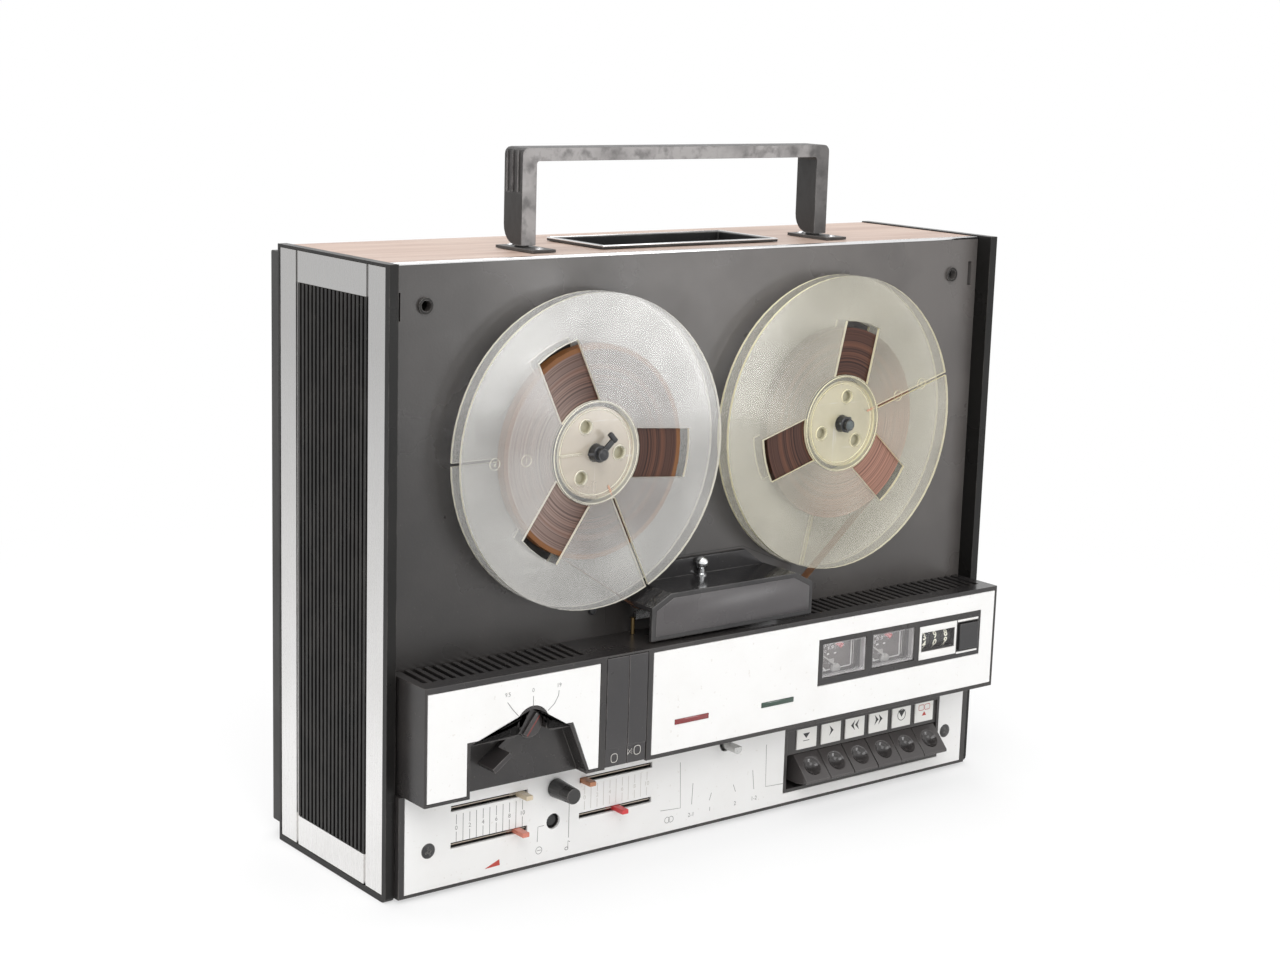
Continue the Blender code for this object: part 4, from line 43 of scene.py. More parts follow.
# Case side panels.
# Black mouldings with upright ribs; the edges are rubbed grey from being carried.
# Every other black or dark moulding on the machine takes its finish from here.
front_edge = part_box("left_side_panel")[0][1]


def spot(x, y, z):
    """A place in metres, from millimetres off the middle, the side panels' front edge and the ground."""
    return Vector((x * MM, front_edge + y * MM, z * MM))


def clear_selection():
    """Leaves nothing selected, out of edit mode."""
    if bpy.context.mode != "OBJECT":
        bpy.ops.object.mode_set(mode="OBJECT")
    bpy.ops.object.select_all(action="DESELECT")


def front_of(node):
    """A CAD node's front face, in millimetres behind the side panels' front edge."""
    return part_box(node)[0][1] / MM - spot(0, 0, 0).y / MM


def near(place, x, y, z):
    """A place some millimetres from another."""
    return place + Vector((x, y, z)) * MM


def feed(tree, socket, value):
    """Sets an input to a value, or links it to a socket."""
    if isinstance(value, bpy.types.NodeSocket):
        tree.links.new(value, socket)
    else:
        socket.default_value = (*value, 1.0) if socket.type == "RGBA" else value


def maths(tree, operation, *values, clamp=False):
    """The result of a sum on sockets or numbers."""
    node = tree.nodes.new("ShaderNodeMath")
    node.operation = operation
    node.use_clamp = clamp
    for socket, value in zip(node.inputs, values):
        feed(tree, socket, value)
    return node.outputs["Value"]


def vectors(tree, operation, *values):
    """The results of a sum on vectors, as the node's outputs."""
    node = tree.nodes.new("ShaderNodeVectorMath")
    node.operation = operation
    for socket, value in zip(node.inputs, values):
        feed(tree, socket, value)
    return node.outputs


def remap(tree, value, low, high, new_low=0, new_high=1):
    """Maps a value's range to another."""
    node = tree.nodes.new("ShaderNodeMapRange")
    for label, number in (("From Min", low), ("From Max", high), ("To Min", new_low), ("To Max", new_high)):
        node.inputs[label].default_value = number
    tree.links.new(value, node.inputs["Value"])
    return node.outputs["Result"]


def own_place(tree):
    """A point's place on the object, in metres."""
    return tree.nodes.new("ShaderNodeTexCoord").outputs["Object"]


def split(tree, vector):
    """A vector's X, Y and Z, as the node's outputs."""
    node = tree.nodes.new("ShaderNodeSeparateXYZ")
    tree.links.new(vector, node.inputs["Vector"])
    return node.outputs


def noise(tree, place, scale, detail, roughness=0.5):
    """Noise round a place."""
    node = tree.nodes.new("ShaderNodeTexNoise")
    tree.links.new(place, node.inputs["Vector"])
    for label, value in (("Scale", scale), ("Detail", detail), ("Roughness", roughness)):
        feed(tree, node.inputs[label], value)
    return node.outputs["Fac"]


def effect_group(name, inputs, outputs):
    """An empty node group with its sockets, as (group, the inlet's outputs, the outlet's inputs)."""
    group = bpy.data.node_groups.new(name, "ShaderNodeTree")
    for label, value in inputs:
        socket = group.interface.new_socket(label, in_out="INPUT", socket_type="NodeSocketFloat")
        socket.default_value = value
    for label in outputs:
        group.interface.new_socket(label, in_out="OUTPUT", socket_type="NodeSocketFloat")
    return group, group.nodes.new("NodeGroupInput").outputs, group.nodes.new("NodeGroupOutput").inputs


def worn_edge_group():
    """Masks outer edges, broken up by patchy wear."""
    group, given, result = effect_group(
        "worn edges", [("Width", 0.0007), ("Patch size", 60.0), ("Amount", 1.0)], ["Mask"])
    rounded = group.nodes.new("ShaderNodeBevel")
    rounded.samples = 4
    group.links.new(given["Width"], rounded.inputs["Radius"])
    flat = group.nodes.new("ShaderNodeNewGeometry")
    likeness = vectors(group, "DOT_PRODUCT", rounded.outputs["Normal"], flat.outputs["Normal"])["Value"]
    patches = remap(group, noise(group, own_place(group), given["Patch size"], 6.0, 0.65), 0.4, 0.62)
    both = maths(group, "MULTIPLY", remap(group, likeness, 0.995, 0.87), patches)
    feed(group, result["Mask"], maths(group, "MULTIPLY", both, given["Amount"]))
    return group


def dust_group():
    """Masks pale specks and soft smudges."""
    group, given, result = effect_group(
        "dust", [("Speck size", 900.0), ("Smudge size", 14.0), ("Amount", 1.0)], ["Mask"])
    place = own_place(group)
    specks = remap(group, noise(group, place, given["Speck size"], 2.0), 0.69, 0.76)
    smudges = remap(group, noise(group, place, given["Smudge size"], 5.0, 0.6), 0.45, 0.8, 0, 0.35)
    both = maths(group, "ADD", specks, smudges, clamp=True)
    feed(group, result["Mask"], maths(group, "MULTIPLY", both, given["Amount"]))
    return group


def grain_group():
    """A fine uneven surface and a slow drift of tone, stretched along one axis where asked."""
    group, given, result = effect_group(
        "grain", [("Size", 1500.0), ("Along X", 1.0), ("Along Y", 1.0), ("Along Z", 1.0)], ["Height", "Drift"])
    stretch = group.nodes.new("ShaderNodeCombineXYZ")
    for axis in "XYZ":
        group.links.new(given["Along " + axis], stretch.inputs[axis])
    place = vectors(group, "MULTIPLY", own_place(group), stretch.outputs["Vector"])["Vector"]
    feed(group, result["Height"], noise(group, place, given["Size"], 3.0))
    feed(group, result["Drift"], noise(group, place, 22.0, 5.0))
    return group


worn_edges = worn_edge_group()
dust = dust_group()
grain = grain_group()


def new_surface(name):
    """A fresh material and its node tree."""
    surface = bpy.data.materials.new(name)
    surface.use_nodes = True
    return surface, surface.node_tree


def paint(tree, **values):
    """Feeds a material's shader; an underscore in a name is a space."""
    for label, value in values.items():
        feed(tree, tree.nodes["Principled BSDF"].inputs[label.replace("_", " ")], value)


def bumped(tree, height, strength, distance):
    """Raises a material's surface by a height."""
    bump = tree.nodes.new("ShaderNodeBump")
    bump.inputs["Strength"].default_value = strength
    bump.inputs["Distance"].default_value = distance
    tree.links.new(height, bump.inputs["Height"])
    paint(tree, Normal=bump.outputs["Normal"])


def use_group(tree, group, **values):
    """Places a group with its inputs set, as the node's outputs; an underscore in a name is a space."""
    node = tree.nodes.new("ShaderNodeGroup")
    node.node_tree = group
    for label, value in values.items():
        node.inputs[label.replace("_", " ")].default_value = value
    return node.outputs


def mix_colours(tree, factor, first, second):
    """Mixes two colours by a socket; each colour is a socket or three numbers."""
    mix = tree.nodes.new("ShaderNodeMix")
    mix.data_type = "RGBA"
    tree.links.new(factor, mix.inputs["Factor"])
    colours = [i for i in mix.inputs if i.type == "RGBA"]
    for socket, colour in zip(colours, (first, second)):
        feed(tree, socket, colour)
    return [o for o in mix.outputs if o.type == "RGBA"][0]


def scaled(colour, amount):
    """A colour made darker or lighter."""
    return tuple(min(c * amount, 1.0) for c in colour)


def moulding(name, colour, worn, roughness=0.5, depth=0.15, size=1500.0, wear=1.0, dirt=0.5, width=0.0007):
    """Moulded plastic or paint: fine grain, drifting tone, specks, and edges rubbed to another colour."""
    surface, tree = new_surface(name)
    texture = use_group(tree, grain, Size=size)
    rubbed = use_group(tree, worn_edges, Width=width, Amount=wear)
    specks = use_group(tree, dust, Amount=dirt)
    tone = mix_colours(tree, texture["Drift"], scaled(colour, 0.8), scaled(colour, 1.2))
    dusty = mix_colours(tree, specks["Mask"], tone, tuple(0.5 * c + 0.5 * w for c, w in zip(colour, worn)))
    paint(tree, Base_Color=mix_colours(tree, rubbed["Mask"], dusty, worn),
          Roughness=remap(tree, texture["Drift"], 0.3, 0.7, roughness - 0.07, roughness + 0.07))
    bumped(tree, texture["Height"], depth, 0.0003)
    return surface


def dress(surface, *names):
    """Gives CAD nodes a material."""
    for name in names:
        nodes[name].data.materials.clear()
        nodes[name].data.materials.append(surface)


def soften(width, *names):
    """Rounds the edges of CAD nodes with live modifiers; their own points stay as they are."""
    for name in names:
        node = nodes[name]
        weld = node.modifiers.new("weld", "WELD")
        weld.merge_threshold = 0.00001
        flats = node.modifiers.new("flats", "DECIMATE")
        flats.decimate_type = "DISSOLVE"
        flats.angle_limit = math.radians(1)
        edges = node.modifiers.new("edges", "BEVEL")
        edges.width = width * MM
        edges.segments = 2
        edges.limit_method = "ANGLE"
        edges.angle_limit = math.radians(40)
        edges.harden_normals = True


case_black = moulding("case_black", (0.011, 0.0105, 0.01), (0.12, 0.11, 0.1), 0.3, 0.1, wear=0.7, dirt=0.35)
paint(case_black.node_tree, Specular_IOR_Level=0.2)
dress(case_black, "left_side_panel", "right_side_panel", "bottom_panel")

# Side trims.
# Frames of brushed aluminium let into the side panels, with two grooves each.
# The long strips are brushed along their length; the trims are stained and grow darker towards the top.


def brushed_metal(name, colour, stained, roughness, along, wear=0.4, stains=0.5, tone_shift=0):
    """Brushed metal with streaks along one axis, stained, and darker towards its top where asked."""
    surface, tree = new_surface(name)
    texture = use_group(tree, grain, Size=900.0, **{"Along_" + along: 0.03})
    specks = use_group(tree, dust, Amount=stains)
    rubbed = use_group(tree, worn_edges, Amount=wear)
    tone = mix_colours(tree, texture["Height"], scaled(colour, 0.88), colour)
    spotted = mix_colours(tree, specks["Mask"], tone, stained)
    high = remap(tree, split(tree, own_place(tree))["Z"], 0.06, 0.3, 0, tone_shift)
    darkened_top = mix_colours(tree, high, spotted, scaled(colour, 0.45))
    paint(tree, Base_Color=mix_colours(tree, rubbed["Mask"], darkened_top, stained), Metallic=1.0,
          Roughness=remap(tree, texture["Height"], 0.3, 0.7, roughness - 0.06, roughness + 0.08))
    bumped(tree, texture["Height"], 0.12, 0.0001)
    return surface


bright_strip = brushed_metal("bright_strip", (0.9, 0.89, 0.88), (0.4, 0.36, 0.32), 0.25, "Z", tone_shift=0.85)
dress(bright_strip, "left_side_trim", "right_side_trim")
soften(0.25, "left_side_trim", "right_side_trim")

# Top panel and the bright strip along its front edge.
# The panel is board with a pale brown veneer, its grain across the machine; the strip is polished aluminium.


def veneer(name, pale, dark):
    """Open-grained veneer with the grain along X."""
    surface, tree = new_surface(name)
    broad = use_group(tree, grain, Size=90.0, Along_X=0.08)["Height"]
    pores = use_group(tree, grain, Size=1400.0, Along_X=0.03)["Height"]
    specks = use_group(tree, dust, Amount=0.5, Smudge_size=9.0)
    figure = mix_colours(tree, remap(tree, broad, 0.35, 0.65), dark, pale)
    pored = mix_colours(tree, remap(tree, pores, 0.62, 0.74, 0, 0.5), figure, scaled(dark, 0.55))
    paint(tree, Base_Color=mix_colours(tree, specks["Mask"], pored, (0.62, 0.55, 0.5)),
          Roughness=remap(tree, pores, 0.3, 0.7, 0.38, 0.52))
    bumped(tree, pores, 0.2, 0.0002)
    return surface


def edit_all():
    """Starts editing the active object, with everything in it selected."""
    bpy.ops.object.mode_set(mode="EDIT")
    bpy.ops.mesh.select_all(action="SELECT")


def placed(name, data):
    """A new object of a mesh or curve, selected alone."""
    clear_selection()
    piece = bpy.data.objects.new(name, data)
    bpy.context.scene.collection.objects.link(piece)
    piece.select_set(True)
    bpy.context.view_layer.objects.active = piece
    return piece


def new_mesh(name, corners, edges, faces):
    """A mesh object, selected alone."""
    mesh = bpy.data.meshes.new(name)
    mesh.from_pydata(corners, edges, faces)
    return placed(name, mesh)


def as_mesh(placing=None):
    """The selected curve or text made a mesh, with its points moved."""
    bpy.ops.object.convert(target="MESH")
    piece = bpy.context.object
    if placing is not None:
        piece.data.transform(placing)
    return piece


def block(name, low, high, width=0.3):
    """A block between two corners, its edges rounded by a width in millimetres."""
    clear_selection()
    bpy.ops.mesh.primitive_cube_add(size=1, location=(low + high) / 2, scale=high - low)
    piece = bpy.context.object
    piece.name = name
    bpy.ops.object.transform_apply(location=True, rotation=True, scale=True)
    if width:
        edit_all()
        bpy.ops.mesh.bevel(offset=width * MM, segments=2, affect="EDGES")
        bpy.ops.object.mode_set(mode="OBJECT")
    return piece


def finish_piece(piece, surface, body, angle=35):
    """Paints a piece, smooths its round faces and lets it ride on a body."""
    clear_selection()
    piece.select_set(True)
    bpy.context.view_layer.objects.active = piece
    piece.data.materials.clear()
    piece.data.materials.append(surface)
    bpy.ops.object.shade_smooth_by_angle(angle=math.radians(angle))
    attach(piece, body)
    return piece


wood = veneer("pale_brown_veneer", (0.52, 0.39, 0.32), (0.4, 0.28, 0.225))
dress(wood, "top_panel")
deck_low, deck_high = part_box("deck_plate")
polished = brushed_metal("polished_strip", (0.88, 0.88, 0.88), (0.5, 0.47, 0.44), 0.16, "X", 0.3, 0.3)
strip_low = Vector((deck_low[0], deck_low[1] + 1.1 * MM, deck_high[2] + 0.1 * MM))
strip_high = Vector((deck_high[0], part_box("top_panel")[0][1] - 0.1 * MM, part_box("top_panel")[1][2] + 0.25 * MM))
finish_piece(block("top_edge_strip", strip_low, strip_high, 0.25), polished, "case")

# Rear cover and socket panel.
# A black moulding closes the back; the sockets sit in a panel behind its opening, each with a bright ring.
cover_black = moulding("cover_black", (0.03, 0.029, 0.028), (0.13, 0.12, 0.11), 0.55, 0.35, 700.0, 0.6)
panel_grey = moulding("panel_grey", (0.055, 0.053, 0.05), (0.2, 0.19, 0.17), 0.45)
dress(cover_black, "rear_cover")
dress(panel_grey, "socket_panel")
soften(0.8, "rear_cover")


def turned(name, centre, profile, steps=40, axis=(0, 1, 0)):
    """A body spun round an axis from (radius, distance along the axis) pairs in millimetres."""
    along = Vector(axis)
    out = Vector((0, 0, 1)) if abs(along.z) < 0.5 else Vector((1, 0, 0))
    corners = [centre + out * radius * MM + along * distance * MM for radius, distance in profile]
    piece = new_mesh(name, corners, [(i, i + 1) for i in range(len(corners) - 1)], [])
    edit_all()
    bpy.ops.mesh.spin(steps=steps, angle=math.tau, center=centre, axis=along)
    bpy.ops.mesh.select_all(action="SELECT")
    bpy.ops.mesh.remove_doubles(threshold=0.000005)
    bpy.ops.mesh.normals_make_consistent(inside=False)
    bpy.ops.object.mode_set(mode="OBJECT")
    return piece


def joined(name, pieces):
    """Several pieces as one, under one name."""
    clear_selection()
    for piece in pieces:
        piece.select_set(True)
    bpy.context.view_layer.objects.active = pieces[0]
    if len(pieces) > 1:
        bpy.ops.object.join()
    pieces[0].name = name
    return pieces[0]


socket_low, socket_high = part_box("socket_panel")
socket_z = (socket_low[2] + socket_high[2]) / 2
plated = brushed_metal("plated_steel", (0.72, 0.72, 0.73), (0.35, 0.3, 0.25), 0.28, "Y")
for number in range(5):
    middle = Vector((socket_low[0] + (16 + 22 * number) * MM, socket_high[1], socket_z))
    metal = [turned("socket_ring", middle, [(7.3, 0.0), (7.3, 0.5), (8.6, 0.5), (9.0, 0.2), (9.0, 0.0), (7.3, 0.0)])]
    core = turned(f"socket_core_{number + 1}", middle, [(0.0, -2.6), (6.4, -2.6), (6.4, -6.2), (0.0, -6.2)])
    finish_piece(core, panel_grey, "case")
    for angle in (0, 45, 90, 135, 180):
        place = middle + Vector((math.cos(math.radians(angle)), 0, -math.sin(math.radians(angle)))) * 4.2 * MM
        metal.append(turned("contact", place, [(0.0, -2.45), (0.8, -2.45), (0.8, -3.0), (0.0, -3.0)], 12))
    finish_piece(joined(f"socket_metal_{number + 1}", metal), plated, "case")
inlet = Vector((socket_high[0] - 17 * MM, socket_high[1], socket_z))
mains_pins = [turned("mains_pin", inlet + Vector((side * 3.4 * MM, 0, 0)),
                     [(0.0, -1.6), (0.8, -1.6), (1.2, -2.0), (1.2, -6.3), (0.0, -6.3)], 16) for side in (-1, 1)]
finish_piece(joined("mains_pins", mains_pins), plated, "case")

# Deck plate.
# Dark grey painted sheet; two dark rings stand round its locating holes, and a thin seam marks the head plate.
deck_grey = moulding("deck_grey", (0.025, 0.023, 0.022), (0.14, 0.12, 0.11), 0.3, 0.12, 700.0, 0.8, 0.8)
tree = deck_grey.node_tree
painted = tree.nodes["Principled BSDF"].inputs["Base Color"].links[0].from_socket
where = split(tree, own_place(tree))
# The paint is lightened towards the top and the right, in uneven patches: a painted reflection.
painted_reflection_mask = maths(tree, "MULTIPLY_ADD", remap(tree, where["Z"], 0.22, 0.33), 0.4,
              remap(tree, where["X"], -0.19, 0.2, 0, 0.85))
patchy_reflection = remap(tree, use_group(tree, grain, Size=16.0)["Height"], 0.35, 0.65, 0.7, 1.2)
paint(tree, Base_Color=mix_colours(tree, maths(tree, "MULTIPLY", painted_reflection_mask, patchy_reflection), painted, (0.105, 0.096, 0.091)))
dress(deck_grey, "deck_plate")


def stroke(name, points, width, flat_y=None):
    """A thin line through points, pressed almost flat onto a front face where flat_y is given."""
    curve = bpy.data.curves.new(name, "CURVE")
    curve.dimensions = "3D"
    curve.bevel_depth = width / 2 * MM
    curve.bevel_resolution = 1
    curve.use_fill_caps = True
    line = curve.splines.new("POLY")
    line.points.add(len(points) - 1)
    for place, point in zip(line.points, points):
        place.co = (*point, 1.0)
    placed(name, curve)
    if flat_y is None:
        return as_mesh()
    return as_mesh(Matrix.Translation((0, flat_y, 0)) @ Matrix.Diagonal((1, 0.25, 1, 1))
                   @ Matrix.Translation((0, -flat_y, 0)))


deck_front = spot(0, 11, 0).y
seam_black = moulding("seam_black", (0.012, 0.012, 0.012), (0.03, 0.03, 0.03), 0.6)
seams = [stroke("seam", [spot(-13.2, 11, 166), spot(-14.2, 11, 230)], 0.35, deck_front),
         stroke("seam", [spot(-70, 11, 133), spot(-70, 11, 150), spot(-31, 11, 166.5), spot(31, 11, 166.5),
                         spot(70, 11, 150), spot(70, 11, 133)], 0.3, deck_front)]
finish_piece(joined("head_plate_seams", seams), seam_black, "case")
collar_rings = [turned("collar_ring", spot(side * 193.5, 9.6, 322),
                       [(3.1, 0.2), (3.2, -0.25), (4.1, -0.25), (4.5, 0.1), (4.5, 1.2), (3.1, 1.2), (3.1, 0.2)])
                for side in (-1, 1)]
finish_piece(joined("deck_collars", collar_rings), case_black, "case")

# Carrying handle, its feet and the well under it.
# The handle is a black moulding, scratched and worn at its edges, with a painted sheen lightening its front faces to
# grey; the feet are screwed through the top panel.


def rubbed_handle(name, dark, rubbed):
    """Black plastic with a painted sheen lightening its front faces to grey, broken up by scratches and less on the
    right leg, and its edges worn.
    """
    surface, tree = new_surface(name)
    facing = tree.nodes.new("ShaderNodeTexCoord").outputs["Normal"]
    # Faces looking forward are lightened as a painted sheen, broken up by scratches, and less on the right leg.
    front = remap(tree, split(tree, facing)["Y"], -0.8, -0.97)
    along = use_group(tree, grain, Size=420.0, Along_X=0.35, Along_Z=0.35)["Height"]
    broad = use_group(tree, grain, Size=120.0, Along_X=0.4, Along_Z=0.4)["Height"]
    edges = use_group(tree, worn_edges, Amount=1.2, Width=0.0012)
    scratched = maths(tree, "MULTIPLY", remap(tree, along, 0.32, 0.52, 0.45, 1),
                      remap(tree, broad, 0.3, 0.55, 0.5, 1))
    front_sheen_mask = maths(tree, "MULTIPLY", front, remap(tree, split(tree, own_place(tree))["X"], 0.095, 0.103, 1, 0.3))
    worn = mix_colours(tree, maths(tree, "MULTIPLY", scratched, front_sheen_mask), dark, rubbed)
    paint(tree, Base_Color=mix_colours(tree, edges["Mask"], worn, scaled(rubbed, 0.7)),
          Roughness=remap(tree, along, 0.3, 0.7, 0.34, 0.48))
    bumped(tree, along, 0.15, 0.0002)
    return surface


foot_black = moulding("foot_black", (0.03, 0.028, 0.027), (0.17, 0.155, 0.145), 0.44, 0.3, 420.0, 1.0, 0.8, 0.0012)
handle_black = rubbed_handle("handle_black", (0.022, 0.02, 0.019), (0.31, 0.295, 0.29))
well_black = moulding("well_black", (0.016, 0.016, 0.016), (0.3, 0.29, 0.27), 0.34, 0.08, wear=1.0, width=0.0009)
dress(handle_black, "handle")
dress(foot_black, "left_handle_foot", "right_handle_foot")
dress(well_black, "handle_well")
soften(0.8, "handle")
soften(0.5, "handle_well")
soften(0.3, "left_handle_foot", "right_handle_foot")
# A thin polished frame on the well's rim stands in for the highlight along its edge: a painted highlight.
rim_low, rim_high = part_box("handle_well")
rim_highlight_bars = []
for low, high in (((rim_low[0], rim_low[1]), (rim_high[0], rim_low[1] + 1.1 * MM)),
                  ((rim_low[0], rim_high[1] - 1.1 * MM), (rim_high[0], rim_high[1])),
                  ((rim_low[0], rim_low[1] + 0.9 * MM), (rim_low[0] + 1.1 * MM, rim_high[1] - 0.9 * MM)),
                  ((rim_high[0] - 1.1 * MM, rim_low[1] + 0.9 * MM), (rim_high[0], rim_high[1] - 0.9 * MM))):
    rim_highlight_bars.append(block("rim_highlight_bar", Vector((*low, rim_high[2] - 0.8 * MM)),
                            Vector((*high, rim_high[2] + 0.25 * MM)), 0.25))
finish_piece(joined("well_rim_highlight", rim_highlight_bars), polished, "case")
for name in ("left", "right"):
    low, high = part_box(name + "_handle_foot")
    foot_top = spot(0, 0, 346.7).z
    screws = []
    for y in (low[1] + 5 * MM, high[1] - 4 * MM):
        centre = Vector(((low[0] + high[0]) / 2, y, foot_top))
        screws.append(turned("foot_screw", centre, [(0.0, 0.9), (1.0, 0.85), (2.2, 0.35), (2.5, 0.0), (0.0, 0.0)],
                             24, (0, 0, 1)))
    finish_piece(joined(name + "_foot_screws", screws), plated, "case")

# Reels.
# Milky polystyrene flanges on a ribbed hub; light gathers in the cut edges, which look cream.
# The wound tape shows brown in the windows and as a grey shade through the flange.


def milky(name, body, edge, alpha):
    """Translucent plastic whose cut edges are painted creamier and denser, for the light that gathers in them."""
    surface, tree = new_surface(name)
    normal = tree.nodes.new("ShaderNodeNewGeometry").outputs["Normal"]
    cut = remap(tree, maths(tree, "ABSOLUTE", split(tree, normal)["Y"]), 0.9, 0.5)
    drift = use_group(tree, grain, Size=60.0)["Drift"]
    specks = use_group(tree, dust, Amount=0.2, Smudge_size=20.0)
    tone = mix_colours(tree, drift, scaled(body, 0.86), body)
    hairs = [remap(tree, use_group(tree, grain, Size=260.0, **{"Along_" + axis: 0.07})["Height"], 0.66, 0.74, 0, 0.5)
             for axis in "XZ"]
    scratched = mix_colours(tree, maths(tree, "MAXIMUM", *hairs), tone, (0.92, 0.91, 0.88))
    scuffed = mix_colours(tree, specks["Mask"], scratched, (0.9, 0.9, 0.87))
    cloud = remap(tree, drift, 0.3, 0.7, alpha - 0.07, alpha + 0.07)
    paint(tree, Base_Color=mix_colours(tree, cut, scuffed, edge),
          Alpha=maths(tree, "MULTIPLY_ADD", cut, 0.75, cloud, clamp=True),
          Roughness=remap(tree, drift, 0.3, 0.7, 0.15, 0.18), IOR=1.59, Coat_Weight=0.8, Coat_Roughness=0.08)
    return surface


def wound_tape(name, centre, sheen_angle, sheen, bare_edge):
    """The side of a tape winding: fine rings round the spool's axis, a painted sheen on one side, bare at its
    outside.
    """
    surface, tree = new_surface(name)
    middle = tree.nodes.new("ShaderNodeMapping")
    middle.inputs["Location"].default_value = (-centre[0], 0, -centre[1])
    feed(tree, middle.inputs["Vector"], own_place(tree))
    flat = vectors(tree, "MULTIPLY", middle.outputs["Vector"], (1, 0, 1))["Vector"]
    radius = vectors(tree, "LENGTH", flat)["Value"]
    sheen_way = (math.cos(math.radians(sheen_angle)), 0, math.sin(math.radians(sheen_angle)))
    side = vectors(tree, "DOT_PRODUCT", vectors(tree, "NORMALIZE", flat)["Vector"], sheen_way)["Value"]
    rings = []
    for scale, detail in ((900.0, 4.0), (160.0, 3.0)):
        ring = tree.nodes.new("ShaderNodeTexNoise")
        ring.noise_dimensions = "1D"
        for label, value in (("W", radius), ("Scale", scale), ("Detail", detail)):
            feed(tree, ring.inputs[label], value)
        rings.append(ring.outputs["Fac"])
    fine, broad = rings
    wound = mix_colours(tree, remap(tree, fine, 0.35, 0.65), (0.022, 0.008, 0.005), (0.078, 0.031, 0.02))
    bands = mix_colours(tree, remap(tree, broad, 0.5, 0.66, 0, 0.7), wound, (0.12, 0.05, 0.03))
    # A painted sheen lightens the winding on one side, broken up by the fine rings.
    tone_shift = maths(tree, "MULTIPLY", remap(tree, side, 0.0, 0.8), remap(tree, fine, 0.35, 0.62, 0.45, 1))
    sheened = mix_colours(tree, tone_shift, bands, sheen)
    bare = remap(tree, radius, bare_edge, bare_edge + 0.0004)
    paint(tree, Base_Color=mix_colours(tree, bare, sheened, (0.17, 0.07, 0.024)), Specular_IOR_Level=0.2,
          Roughness=remap(tree, broad, 0.3, 0.7, 0.3, 0.45))
    bumped(tree, fine, 0.35, 0.0002)
    return surface


def pierced_disc(name, axis, outer, holes, front_y, thick):
    """A flat disc with round holes, facing the front; a hole is its angle, distance and radius."""
    curve = bpy.data.curves.new(name, "CURVE")
    curve.dimensions = "2D"
    curve.fill_mode = "BOTH"
    curve.extrude = thick / 2 * MM
    for angle, distance, radius in [(0, 0, outer)] + holes:
        ring = curve.splines.new("POLY")
        ring.points.add(47)
        ring.use_cyclic_u = True
        across = distance * math.cos(math.radians(angle))
        up = distance * math.sin(math.radians(angle))
        for step, point in enumerate(ring.points):
            turn = math.radians(step * 7.5)
            point.co = ((across + radius * math.cos(turn)) * MM, (up + radius * math.sin(turn)) * MM, 0, 1)
    placed(name, curve)
    return as_mesh(Matrix.Translation((axis.x, front_y, axis.z)) @ Matrix.Rotation(math.radians(90), 4, "X"))


def numeral(text, centre, height, facing_y, bold=0):
    """Raised or printed characters on a front face, centred on a place."""
    clear_selection()
    bpy.ops.object.text_add(location=(0, 0, 0))
    piece = bpy.context.object
    piece.data.body = text
    piece.data.size = height * MM * 1.4
    piece.data.align_x = "CENTER"
    piece.data.align_y = "CENTER"
    piece.data.extrude = 0.03 * MM
    piece.data.offset = bold * MM
    piece.data.resolution_u = 3
    return as_mesh(Matrix.Translation((centre.x, facing_y, centre.z)) @ Matrix.Rotation(math.radians(90), 4, "X"))


def turn_piece(piece, centre, degrees):
    """Turns a piece's mesh round an axis along Y, anticlockwise as seen from the front."""
    piece.data.transform(Matrix.Translation(centre) @ Matrix.Rotation(math.radians(-degrees), 4, "Y")
                         @ Matrix.Translation(-centre))
    return piece


reel_looks = {"left": ((0.69, 0.68, 0.65), (0.93, 0.89, 0.75)), "right": ((0.67, 0.64, 0.53), (0.93, 0.87, 0.62))}
lug_distance, lug_radius = 16.5, 3.75
hub_looks = {"left": (0.74, 0.66, 0.55), "right": (0.76, 0.7, 0.5)}
reel_turns = {"left": -5, "right": 77}
slit_turns = {"left": -64.5, "right": 16}
pack_radii = {"left": 60.5, "right": 58.0}
tape_sides = {"left": (180, (0.27, 0.2, 0.175), 0.0575), "right": (-42, (0.33, 0.175, 0.13), 0.1)}
tape_pink = moulding("tape_pink", (0.5, 0.26, 0.17), (0.6, 0.4, 0.3), 0.4, 0.05)
cup_cream = moulding("cup_cream", (0.4, 0.375, 0.27), (0.6, 0.56, 0.42), 0.45, 0.05)
glued_black = moulding("spindle_black", (0.02, 0.02, 0.022), (0.09, 0.09, 0.09), 0.38, 0.1)
